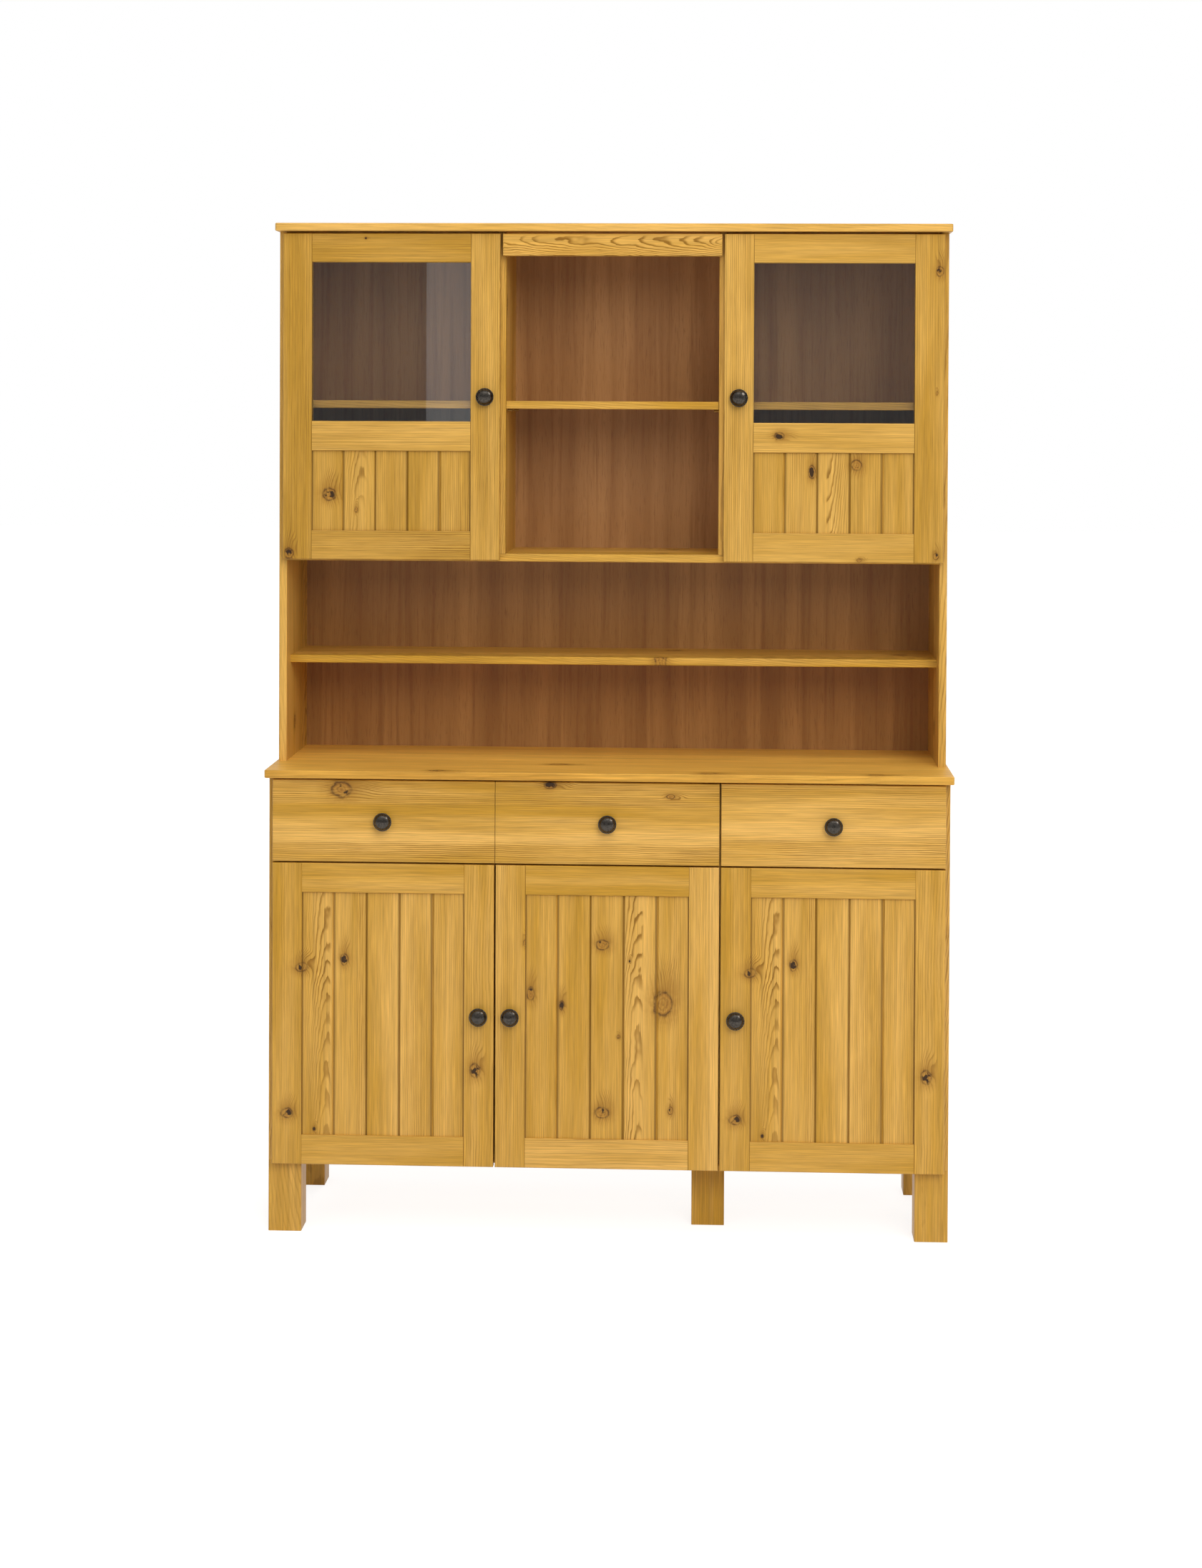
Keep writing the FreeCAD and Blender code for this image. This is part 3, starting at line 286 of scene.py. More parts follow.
def pine(name, lie, corner, board=(None, None, None), cuts=None, bands=None, knots=(), strays=0.0, joint=None,
         seed=0.0, colors=LACQUERED, level_beyond=None):
    """Pine for one group of boards, its pattern measured in millimetres from a corner.

    board: size of one board along X, Y and Z, None where boards aren't told apart
    cuts: how each board across was sawn: the log's tilt, its pith's place across and behind the board's
        middle, and the width of its rings
    bands: across all boards, a place, how pale the wood is there, and how strongly its rings show
    knots: a knot's place, half length and half width, and how rotten its heart is
    strays: the share of cells that hold a knot by chance
    joint: first place across where painted shade darkens a joint, the distance to the next, and the half
    width of the line
    level_beyond: an axis, a place on it, and how far from there boards lie level across the front instead
    """
    material, tree = new_material(name)
    object_place = add(tree, "ShaderNodeTexCoord").outputs["Object"]
    turn = Euler(lie).to_matrix()
    places = [
        add(tree, "ShaderNodeMapping", {
            "Vector": object_place, "Rotation": way,
            "Location": -(Euler(way).to_matrix() @ Vector(corner)) * MM})
        for way in ((lie, LEVEL_FRONT) if level_beyond else (lie,))]
    place = places[0]
    if level_beyond:
        axis, middle, reach = level_beyond
        along = add(tree, "ShaderNodeSeparateXYZ", [object_place]).outputs[axis]
        near = add(tree, "ShaderNodeMath", (along, middle * MM, reach * MM), operation="COMPARE")
        place = add(tree, "ShaderNodeMix", (near, places[1], place), data_type="VECTOR")
    size = [abs(length) * MM for length in turn @ Vector([length or UNSPLIT / MM for length in board])]
    counted = add(tree, "ShaderNodeMapping", {
        "Vector": place, "Scale": [1 / length for length in size],
        "Location": [0.5 if length == UNSPLIT else 0.0 for length in size]})
    cell = add(tree, "ShaderNodeVectorMath", [counted], operation="FLOOR")
    within = add(tree, "ShaderNodeVectorMath", [counted], operation="FRACTION")
    local = add(
        tree, "ShaderNodeVectorMath", (within, size, [-length / 2 for length in size]),
        operation="MULTIPLY_ADD")
    chances = add(tree, "ShaderNodeTexWhiteNoise", {"Vector": cell, "W": seed}, noise_dimensions="4D").outputs
    width = add(tree, "ShaderNodeSeparateXYZ", [place]).outputs["Y"]
    wood = {"Place": place, "Local": local, "Ring": USUAL_RING, "Knot": NO_KNOT, "Halo": NO_KNOT, "Rot": 0.0,
            "Joint": NO_JOINT}
    if cuts:
        share = add(tree, "ShaderNodeMath", (width, len(cuts) * size[1]), operation="DIVIDE")
        sawn = add(tree, "ShaderNodeValToRGB", [share])
        piths = [(tilt, across * MM, behind * MM) for tilt, across, behind, _ in cuts]
        shares = [[(pith[axis] - PITH_START[axis]) / PITH_RANGE[axis] for axis in range(3)] for pith in piths]
        color_stops(sawn, [
            (count / len(cuts), shares[count] + [ring * MM])
            for count, (*_, ring) in enumerate(cuts)], "CONSTANT")
        wood.update({"Cut": sawn.outputs["Color"], "Ring": sawn.outputs["Alpha"]})
    else:
        wood["Cut"] = chances["Color"]
    if bands:
        first, last = bands[0][0], bands[-1][0]
        share = add(tree, "ShaderNodeMapRange", (width, first * MM, last * MM, 0.0, 1.0))
        banded = add(tree, "ShaderNodeValToRGB", [share])
        color_stops(banded, [
            ((across - first) / (last - first), [pale, pale, pale, contrast])
            for across, pale, contrast in bands])
        wood.update({
            "Band": banded.outputs["Color"], "Contrast": banded.outputs["Alpha"], "Stripe": BANDED_STRIPE})
    else:
        wood["Contrast"] = add(tree, "ShaderNodeMapRange", (chances["Value"], 0.0, 1.0, *USUAL_CONTRAST))
        wood.update({"Band": USUAL_BAND, "Stripe": USUAL_STRIPE})
    for middle, half_length, half_width, *rot in knots:
        middle = turn @ Vector(middle)
        lean = Vector((HALO_LEAN[0] * half_length, HALO_LEAN[1] * half_width, 0))
        for field, center, longer, wider in (
                ("Knot", middle, 1, 1), ("Halo", middle + lean, HALO_LENGTH, HALO_WIDTH)):
            halves = (longer * half_length * MM, wider * half_width * MM, UNSPLIT)
            away = add(tree, "ShaderNodeMapping", {
                "Vector": place, "Location": center * MM, "Scale": halves}, vector_type="TEXTURE")
            distance = add(tree, "ShaderNodeVectorMath", [away], operation="LENGTH")
            wood[field] = add(tree, "ShaderNodeMath", (distance, wood[field]), operation="MINIMUM")
            if rot and field == "Knot":
                near = add(tree, "ShaderNodeMapRange", (distance, *ROT_FADE, rot[0], 0.0))
                wood["Rot"] = add(tree, "ShaderNodeMath", (near, wood["Rot"]), operation="MAXIMUM")
    if strays:
        # Knots strewn by chance, at most one to each cell
        cells = [length * MM for length in STRAY_CELL] + [UNSPLIT]
        strewn = add(tree, "ShaderNodeMapping", {
            "Vector": place, "Location": (seed, seed, 0), "Scale": cells}, vector_type="TEXTURE")
        nearest = add(
            tree, "ShaderNodeTexVoronoi", {"Vector": strewn, "Scale": 1.0}, voronoi_dimensions="2D").outputs
        away = add(tree, "ShaderNodeVectorMath", (strewn, nearest["Position"]), operation="SUBTRACT")
        to_halves = [cells[axis] / (STRAY_HALF[axis] * MM) for axis in range(2)] + [0]
        scaled = add(tree, "ShaderNodeVectorMath", (away, to_halves), operation="MULTIPLY")
        distance = add(tree, "ShaderNodeVectorMath", [scaled], operation="LENGTH")
        chance = add(tree, "ShaderNodeSeparateXYZ", [nearest["Color"]]).outputs["X"]
        absent = add(tree, "ShaderNodeMath", (chance, strays), operation="GREATER_THAN")
        distance = add(tree, "ShaderNodeMath", (absent, NO_KNOT, distance), operation="MULTIPLY_ADD")
        wood["Knot"] = add(tree, "ShaderNodeMath", (distance, wood["Knot"]), operation="MINIMUM")
        spread = add(tree, "ShaderNodeMath", (distance, 1 / HALO_WIDTH), operation="MULTIPLY")
        wood["Halo"] = add(tree, "ShaderNodeMath", (spread, wood["Halo"]), operation="MINIMUM")
    if joint:
        first, spacing, half_width = [length * MM for length in joint]
        along = add(tree, "ShaderNodeMath", (width, first), operation="SUBTRACT")
        distance = add(tree, "ShaderNodeMath", (along, spacing / 2), operation="PINGPONG")
        wood["Joint"] = add(tree, "ShaderNodeMath", (distance, half_width), operation="DIVIDE")
    wood.update({word: linear(code) for word, code in colors.items()})
    rings = add(tree, "ShaderNodeGroup", wood, node_tree=RINGS).outputs
    bump = add(tree, "ShaderNodeBump", {
        "Height": rings["Height"], "Strength": RELIEF_STRENGTH, "Distance": RELIEF_DEPTH})
    add(tree, "ShaderNodeOutputMaterial", [add(tree, "ShaderNodeBsdfPrincipled", {
        "Base Color": rings["Color"], "Roughness": rings["Gloss"], "Normal": bump, "IOR": LACQUER_IOR,
        "Specular IOR Level": LACQUER_SHINE})])
    return material


# How boards are sawn: rings on edge give straight lines, rings lying flat give flames.
LINES, LINES_BACK = (0.0, 145, 12, 3.3), (0.0, -145, 15, 3.6)
PLAIN, PLAIN_BACK = (0.01, 135, 40, 3.8), (0.01, -130, 35, 4.0)

# Left edges, faces and bottoms of doors and drawer fronts
FRONT_EDGES = {"left": -626, "middle": -207.667, "right": 210.667}
HUTCH_EDGES = {"left": -626, "right": 212}
BASE_FACE, HUTCH_FACE = -180, -72
DOOR_BOTTOM, FRONT_BOTTOM, HUTCH_BOTTOM = 131.5, 699, 1257

# Doors, measured from the lower left corner of each. Their boards' bands are measured from the left stile.
STILE, PANEL_BOARDS = 56, 5
DOOR_WIDTH, DOOR_HEIGHT, DOOR_RAILS = 415.333, 564.5, 2
HUTCH_WIDTH, HUTCH_HEIGHT, HUTCH_RAILS = 414, 619, 3
DOOR_PANEL, HUTCH_PANEL = DOOR_WIDTH - 2 * STILE, HUTCH_WIDTH - 2 * STILE
# Half widths of the painted shade in the vees between boards and along the frames' inner edges
VEE_LINE, FRAME_LINE = 3.6, 0.9
OUTER_DOOR = {
    "seed": 1.0,
    "colors": LACQUERED,
    "stile_cuts": (LINES, PLAIN),
    "stile_bands": (
        (0, 0.15, 0.3), (25, 0.42, 0.3), (STILE, 0.15, 0.35), (300, 0.35, 0.35), (360, 0.38, 0.35),
        (385, 0.15, 0.3), (DOOR_WIDTH, 0.42, 0.3)),
    "stile_knots": (((55.5, 0, 369), 8, 11), ((28.5, 0, 96), 9, 11, 0.35), ((381, 0, 180.5), 12, 10, 0.45)),
    "rail_cuts": (LINES, LINES_BACK),
    "rail_bands": (
        (0, 0.28, 0.1), (55, 0.32, 0.1), (505, 0.34, 0.2), (525, 0.38, 0.2), (535, 0.32, 0.1),
        (DOOR_HEIGHT, 0.35, 0.1)),
    "rail_knots": (),
    "board_cuts": ((0.06, 20.6, 6, 2.5), LINES, PLAIN, LINES, LINES_BACK),
    "board_bands": (
        (0, 0.45, 0.25), (18, 0.50, 0.45), (24, 0.55, 0.80), (48, 0.60, 1.0), (52, 0.60, 0.95),
        (54, 0.62, 0.08), (60, 0.55, 0.05), (62, 0.50, 0.08), (100, 0.45, 0.12), (104, 0.45, 0.55),
        (119, 0.50, 0.60), (123, 0.10, 0.12), (150, 0.35, 0.10), (176, 0.85, 0.15), (184, 0.80, 0.35),
        (215, 0.60, 0.50), (241, 0.45, 0.40), (245, 0.50, 0.40), (275, 0.62, 0.30), (DOOR_PANEL, 0.50, 0.40)),
    "board_knots": (((55.5, 0, 369), 8, 11), ((135, 0, 384), 10, 7, 1.0), ((79, 0, 66), 4, 3, 0.9)),
}
MIDDLE_DOOR = {
    "seed": 2.0,
    "colors": LACQUERED,
    "stile_cuts": (LINES_BACK, PLAIN_BACK),
    "stile_bands": (
        (0, 0.58, 0.5), (15, 0.52, 0.45), (40, 0.34, 0.3), (STILE, 0.36, 0.3), (355, 0.50, 0.35),
        (375, 0.45, 0.3), (396, 0.70, 0.3), (404, 1.25, 0.3), (DOOR_WIDTH, 1.15, 0.25)),
    "stile_knots": (((56, 0, 420), 6, 4),),
    "rail_cuts": (LINES_BACK, LINES),
    "rail_bands": (
        (0, 0.86, 0.2), (30, 0.81, 0.2), (55, 0.70, 0.4), (505, 0.06, 0.1), (530, 0.10, 0.1),
        (DOOR_HEIGHT, 0.15, 0.1)),
    "rail_knots": (),
    "board_cuts": (PLAIN, LINES, PLAIN_BACK, (0.05, 2.6, 8, 2.6), LINES_BACK),
    "board_bands": (
        (0, 0.30, 0.15), (59, 0.38, 0.15), (62, 0.42, 0.15), (85, 0.15, 0.15), (119, 0.30, 0.15),
        (123, 0.32, 0.15), (150, 0.45, 0.10), (180, 0.40, 0.15), (184, 0.72, 0.70), (195, 0.76, 0.95),
        (212, 0.78, 1.0), (216, 0.75, 0.85), (219, 0.70, 0.06), (241, 0.50, 0.05), (245, 0.38, 0.05),
        (268, 0.45, 0.15), (272, 0.50, 0.50), (288, 0.50, 0.55), (292, 0.45, 0.12), (DOOR_PANEL, 0.45, 0.15)),
    "board_knots": (
        ((198.7, 0, 417), 9, 12, 0.3), ((65.8, 0, 325), 12, 7, 0.2), ((123.7, 0, 304), 9, 5, 0.6),
        ((312, 0, 308.6), 21, 17), ((200, 0, 104), 10, 12, 0.4), ((327, 0, 110), 7, 4, 0.5),
        ((249.8, 0, 387.5), 3, 2, 0.8), ((229.6, 0, 246), 3, 3)),
}
HUTCH_LEFT_DOOR = {
    "seed": 3.0,
    "colors": IN_SHADE,
    "stile_cuts": (PLAIN, LINES),
    "stile_bands": (
        (0, 0.22, 0.35), (25, 0.04, 0.35), (STILE, 0.24, 0.40), (358, 0.62, 0.45), (385, 0.48, 0.50),
        (HUTCH_WIDTH, 0.52, 0.5)),
    "stile_knots": (((13, 0, 11), 10, 8, 0.7),),
    "rail_cuts": (LINES, PLAIN, LINES_BACK),
    "rail_bands": (
        (0, 0.28, 0.75), (30, 0.33, 0.80), (55, 0.23, 0.7), (206, 0.60, 0.3), (262, 0.70, 0.4),
        (564, 0.06, 0.35), (590, 0.02, 0.35), (HUTCH_HEIGHT, 0.12, 0.35)),
    "rail_knots": (((158, 0, 609.5), 2, 2, 0.9),),
    "board_cuts": (PLAIN, (0.05, 8, 10, 2.8), LINES, PLAIN_BACK, LINES_BACK),
    "board_bands": (
        (0, 0.45, 0.20), (59, 0.35, 0.20), (62, 0.55, 0.30), (80, 0.65, 0.75), (98, 0.70, 0.85),
        (103, 0.65, 0.20), (119, 0.55, 0.10), (122, 0.40, 0.35), (179, 0.30, 0.30), (183, 0.12, 0.10),
        (215, 0.30, 0.12), (240, 0.60, 0.15), (243, 0.50, 0.60), (HUTCH_PANEL, 0.45, 0.70)),
    "board_knots": (((88.5, 0, 123.5), 11, 12, 0.4), ((140, 0, 95), 5, 3)),
}
HUTCH_RIGHT_DOOR = {
    "seed": 4.0,
    "colors": IN_SHADE,
    "stile_cuts": (LINES_BACK, PLAIN_BACK),
    "stile_bands": (
        (0, 0.60, 0.50), (28, 0.70, 0.45), (STILE, 0.58, 0.4), (358, 0.28, 0.3), (385, 0.20, 0.25),
        (HUTCH_WIDTH, 0.32, 0.25)),
    "stile_knots": (((404, 0, 549), 9, 7), ((400, 0, 13.4), 6, 5), ((400, 0, 320), 3, 2, 0.6)),
    "rail_cuts": (LINES, LINES_BACK, PLAIN),
    "rail_bands": (
        (0, 0.50, 0.15), (55, 0.45, 0.15), (206, 0.65, 0.25), (262, 0.60, 0.15), (564, 0.45, 0.12),
        (HUTCH_HEIGHT, 0.55, 0.12)),
    "rail_knots": (((104.4, 0, 238.3), 9, 7, 0.9), ((255.8, 0, 5), 4, 3)),
    "board_cuts": (PLAIN, LINES, (-0.08, -12, 28, 3.2), PLAIN_BACK, LINES),
    "board_bands": (
        (0, 0.30, 0.12), (59, 0.40, 0.15), (62, 0.55, 0.10), (73, 0.55, 0.60), (95, 0.55, 0.60),
        (102, 0.50, 0.20), (119, 0.45, 0.15), (122, 0.60, 0.06), (137, 0.65, 0.06), (139, 0.70, 1.0),
        (150, 0.75, 0.95), (172, 0.65, 0.60), (179, 0.60, 0.30), (183, 0.50, 0.25), (240, 0.40, 0.25),
        (243, 0.38, 0.15), (HUTCH_PANEL, 0.30, 0.15)),
    "board_knots": (((166.3, 0, 171), 12, 6, 0.9), ((250, 0, 183.5), 10, 10)),
}


def dress_door(door, corner, width, height, rails, wood):
    """Pine for a door's stiles, rails and boards."""
    left, face, bottom = corner
    panel = width - 2 * STILE
    board = panel / PANEL_BOARDS
    looks = {"seed": wood["seed"], "colors": wood["colors"]}
    dress(pine(
        f"{door}_stile_pine", UPRIGHT_FRONT, corner, (width / 2, None, None), wood["stile_cuts"],
        wood["stile_bands"], wood["stile_knots"], joint=(STILE, panel, FRAME_LINE), **looks),
        f"{door}_stiles")
    dress(pine(
        f"{door}_rail_pine", LEVEL_FRONT, corner, (None, None, height / rails), wood["rail_cuts"],
        wood["rail_bands"], wood["rail_knots"], **looks), f"{door}_rails")
    board_knots = [((x - STILE, y, z), *halves) for (x, y, z), *halves in wood["board_knots"]]
    dress(pine(
        f"{door}_board_pine", UPRIGHT_FRONT, (left + STILE, face, bottom), (board, None, None),
        wood["board_cuts"], wood["board_bands"], board_knots, joint=(0, board, VEE_LINE), **looks),
        f"{door}_boards")


for side, wood in (("left", OUTER_DOOR), ("middle", MIDDLE_DOOR), ("right", OUTER_DOOR)):
    corner = (FRONT_EDGES[side], BASE_FACE, DOOR_BOTTOM)
    dress_door(f"base_door_{side}", corner, DOOR_WIDTH, DOOR_HEIGHT, DOOR_RAILS, wood)
# Beads above and below the panes lie level.
PANE_MIDDLE, PANE_HALF = 1670, 151
for side, wood in (("left", HUTCH_LEFT_DOOR), ("right", HUTCH_RIGHT_DOOR)):
    corner = (HUTCH_EDGES[side], HUTCH_FACE, HUTCH_BOTTOM)
    dress_door(f"hutch_door_{side}", corner, HUTCH_WIDTH, HUTCH_HEIGHT, HUTCH_RAILS, wood)
    dress(pine(
        f"hutch_{side}_bead_pine", UPRIGHT_FRONT, corner, (HUTCH_WIDTH / 2, None, None), seed=5.0,
        level_beyond=("Z", PANE_MIDDLE, PANE_HALF)), f"hutch_door_{side}_beads")

# Drawer fronts. The first two are cut from one board, so its grain runs on from one to the next.
FRONT_HEIGHT = 153
dress(pine(
    "wide_drawer_front_pine", LEVEL_FRONT, corner=(FRONT_EDGES["left"], BASE_FACE, FRONT_BOTTOM),
    board=(None, None, FRONT_HEIGHT), cuts=((0.01, -140, 25, 3.5),),
    bands=((0, 0.45, 0.45), (14, 0.50, 0.95), (32, 0.60, 1.0), (38, 0.95, 0.40), (48, 0.98, 0.2),
           (62, 0.60, 0.25), (80, 0.50, 0.2), (94, -0.05, 0.2), (104, -0.05, 0.35), (112, 0.40, 0.85),
           (130, 0.40, 0.75), (FRONT_HEIGHT, 0.30, 0.65)),
    knots=(((129.6, 0, 135), 17, 14), ((519, 0, 147.8), 11, 7, 1.0), ((743, 0, 128), 7, 4)), seed=6.0),
    "drawer_left_front", "drawer_middle_front")
dress(pine(
    "narrow_drawer_front_pine", LEVEL_FRONT, corner=(FRONT_EDGES["right"], BASE_FACE, FRONT_BOTTOM),
    board=(None, None, FRONT_HEIGHT), cuts=((-0.01, 145, 30, 3.5),),
    bands=((0, 0.55, 0.40), (20, 0.60, 0.85), (35, 0.65, 0.90), (45, 0.60, 0.75), (60, 0.90, 0.35),
           (70, 1.20, 0.2), (80, 0.95, 0.2), (100, 0.60, 0.25), (125, 0.50, 0.45), (140, 0.25, 0.65),
           (FRONT_HEIGHT, 0.40, 0.40)),
    seed=7.0), "drawer_right_front")

# Cabinet boards, measured from a place at or beyond the lower left front of each group
# Painted light: the counter's bands are paler and its colours warmer, for the sheen of its top and warm light
# bounced from the brown backs.
dress(pine(
    "countertop_pine", FLAT, corner=(-640, -190, 855), board=(None, 131.4, None),
    bands=((0, 0.22, 0.3), (3, 0.75, 0.4), (45, 0.65, 0.35), (80, 0.9, 0.4), (130, 0.75, 0.4),
           (131, 0.65, 0.35), (260, 0.85, 0.4), (394, 0.7, 0.4)),
    knots=(((320, 18.5, 15), 13, 8), ((541, 123, 15), 15, 9), ((826.6, 18, 15), 14, 9),
           ((1137.5, 18, 15), 13, 8)),
    seed=8.0, colors=BOUNCE_WARMED), "countertop")
dress(pine(
    "hutch_top_pine", FLAT, corner=(-640, -82, 1880), board=(None, 143, None),
    bands=((0, 0.75, 0.15), (100, 0.8, 0.3), (143, 0.7, 0.3), (200, 0.8, 0.4), (286, 0.6, 0.3)),
    strays=0.4, seed=9.0), "hutch_top")
VALANCE_HEIGHT = 42
dress(pine(
    "valance_pine", LEVEL_FRONT, corner=(-207.5, HUTCH_FACE, 1834), board=(None, None, VALANCE_HEIGHT),
    cuts=((-0.045, 11, 30, 1.9),),
    bands=((0, 0.52, 0.85), (20, 0.60, 1.0), (33, 0.62, 1.0), (36, 0.60, 0.7), (39, 0.55, 0.12),
           (VALANCE_HEIGHT, 0.50, 0.05)),
    seed=10.0), "valance")
dress(pine(
    "leg_pine", UPRIGHT_FRONT, corner=(-700, -300, 0), board=(300, 150, None),
    bands=((0, 0.25, 0.4), (150, 0.3, 0.4), (700, 0.05, 0.35), (1000, 0.05, 0.35), (1250, 0.4, 0.35),
           (1400, 0.4, 0.35)),
    seed=11.0), "legs")
dress(pine(
    "base_side_pine", UPRIGHT_SIDE, corner=(-635, -160, 134), board=(635, 120, None), strays=0.5, seed=12.0),
    "base_sides", "base_partition", "drawer_divider")
dress(pine(
    "hutch_side_pine", UPRIGHT_SIDE, corner=(-635, -52, 870), board=(317.5, 126, None), strays=0.5,
    seed=13.0), "hutch_sides", "hutch_partitions")
dress(pine(
    "shelf_pine", FLAT, corner=(-620, -52, 870), board=(None, 126, 200),
    bands=((0, 0.40, 0.4), (8, 0.40, 0.4), (30, 0.10, 0.4), (50, 0.15, 0.4), (125, 0.6, 0.3), (127, 0.4, 0.3),
           (252, 0.55, 0.4)),
    strays=0.5, seed=14.0), "hutch_shelves", "hutch_floor")
dress(pine(
    "base_board_pine", FLAT, corner=(-620, -160, 134), board=(None, 120, 200), strays=0.5, seed=15.0),
    "base_bottom", "base_shelves", "drawer_deck")

# Drawers inside. The backs of their boxes lie level.
BOX_EDGES = {"left": -616, "middle": -197.67, "right": 220.67}
BOX_FRONT, BOX_BACK = -155, 145.5
for side, left in BOX_EDGES.items():
    dress(pine(
        f"drawer_{side}_box_pine", DEEP_SIDE, corner=(left, -162, 717), board=(199, None, None), strays=0.3,
        seed=16.0, colors=BARE, level_beyond=("Y", BOX_FRONT, BOX_BACK - BOX_FRONT)), f"drawer_{side}_box")
dress(pine(
    "drawer_bottom_pine", FLAT, corner=(-626, -162, 717), board=(418.33, 80, None), strays=0.3, seed=17.0,
    colors=BARE), "drawer_left_bottom", "drawer_middle_bottom", "drawer_right_bottom")
dress(pine(
    "runner_pine", DEEP_SIDE, corner=(-620, -150, 700), board=(40, None, None), seed=18.0, colors=BARE),
    "drawer_runners")

# Fibreboard printed as brown veneer: long upright streaks of lighter and darker brown, fine dark pores, matt.
# Up to the floor of the hutch's cabinet, where its sheets meet, the print is darker and redder: painted warm
# light bounced from the pine round the bays.
CABINET_FLOOR = 1264
PRINT_GROUND, LOWER_BOUNCE_TINT, PRINT_WAVER = "#96693C", "#F3EEDA", 0.4
# Size of each pattern across, through and up, its detail, the span of it that shows, its cover and its colour
PRINT = {
    "broad": ((40, 1000, 900), 2.0, (0.30, 0.70), 1.0, "#B48552"),
    "vein": ((9, 1000, 300), 3.0, (0.50, 0.70), 0.50, "#84572F"),
    # Pores are finer than this, and are drawn this wide so that they show.
    "pore": ((1.9, 1000, 26), 2.0, (0.55, 0.75), 0.40, "#684222"),
}
PORE_STRENGTH, PORE_DEPTH = 0.12, 0.1 * MM
PRINT_ROUGHNESS, PRINT_IOR = 0.55, 1.5


def printed_fibreboard():
    """The finish of the backs."""
    material, tree = new_material("printed_fibreboard")
    place = add(tree, "ShaderNodeTexCoord").outputs["Object"]
    streak = {}
    color = linear(PRINT_GROUND)
    for word, (size, detail, span, cover, code) in PRINT.items():
        measured = add(tree, "ShaderNodeMapping", {
            "Vector": place, "Scale": [length * MM for length in size]}, vector_type="TEXTURE")
        streak[word] = add(tree, "ShaderNodeTexNoise", {
            "Vector": measured, "Scale": 1.0, "Detail": detail, "Distortion": PRINT_WAVER}).outputs["Fac"]
        share = add(tree, "ShaderNodeMapRange", (streak[word], *span, 0.0, cover))
        color = add(tree, "ShaderNodeMix", (share, color, linear(code)), data_type="RGBA")
    height = add(tree, "ShaderNodeSeparateXYZ", [place]).outputs["Z"]
    # Painted bounce light: below the cabinet's floor the print is made darker and redder.
    lower = add(tree, "ShaderNodeMath", (height, CABINET_FLOOR * MM), operation="LESS_THAN")
    color = add(
        tree, "ShaderNodeMix", (lower, color, linear(LOWER_BOUNCE_TINT)), data_type="RGBA", blend_type="MULTIPLY")
    bump = add(tree, "ShaderNodeBump", {
        "Height": streak["pore"], "Strength": PORE_STRENGTH, "Distance": PORE_DEPTH})
    add(tree, "ShaderNodeOutputMaterial", [add(tree, "ShaderNodeBsdfPrincipled", {
        "Base Color": color, "Normal": bump, "Roughness": PRINT_ROUGHNESS, "IOR": PRINT_IOR})])
    return material


dress(printed_fibreboard(), "base_back", "hutch_back")

# Float glass: clear, faintly grey, with sharp reflections.
GLASS_COLOR, GLASS_IOR = "#ECEDEC", 1.5


def float_glass():
    """The panes of the hutch's doors."""
    material, tree = new_material("clear_float_glass")
    add(tree, "ShaderNodeOutputMaterial", [add(tree, "ShaderNodeBsdfPrincipled", {
        "Base Color": linear(GLASS_COLOR), "Transmission Weight": 1.0, "Roughness": 0.0, "IOR": GLASS_IOR})])
    return material


dress(float_glass(), "hutch_door_left_glass", "hutch_door_right_glass")

# Cast knobs, darkened and waxed: grey-brown metal, cloudy from the casting, with soft reflections.
CASTING_GRAIN, CASTING_SPAN = 3 * MM, (0.35, 0.65)
BRONZE_DARK, BRONZE_PALE, BRONZE_ROUGHNESS = "#413D39", "#57524C", (0.20, 0.36)


def dark_bronze():
    """The finish of the knobs."""
    material, tree = new_material("waxed_dark_bronze")
    place = add(tree, "ShaderNodeTexCoord").outputs["Object"]
    mottle = add(tree, "ShaderNodeTexNoise", {
        "Vector": place, "Scale": 1 / CASTING_GRAIN, "Detail": 4.0}).outputs["Fac"]
    share = add(tree, "ShaderNodeMapRange", (mottle, *CASTING_SPAN, 0.0, 1.0))
    color = add(tree, "ShaderNodeMix", (share, linear(BRONZE_DARK), linear(BRONZE_PALE)), data_type="RGBA")
    rough = add(tree, "ShaderNodeMapRange", (mottle, 0.0, 1.0, *BRONZE_ROUGHNESS))
    add(tree, "ShaderNodeOutputMaterial", [add(tree, "ShaderNodeBsdfPrincipled", {
        "Base Color": color, "Roughness": rough, "Metallic": 1.0})])
    return material


DRAWERS = ["drawer_left", "drawer_middle", "drawer_right"]
DOORS = ["base_door_left", "base_door_middle", "base_door_right", "hutch_door_left", "hutch_door_right"]
dress(dark_bronze(), *[f"{front}_knob" for front in DRAWERS + DOORS])

# Pressed steel, nickel plated: bright grey with faint brushing. The shelf pins get a brown, dull copy, which
# is painted shade: they sit in shade under the shelves.
BRUSHING, STEEL_ROUGHNESS = (1.2, 25, 1.2), (0.34, 0.5)


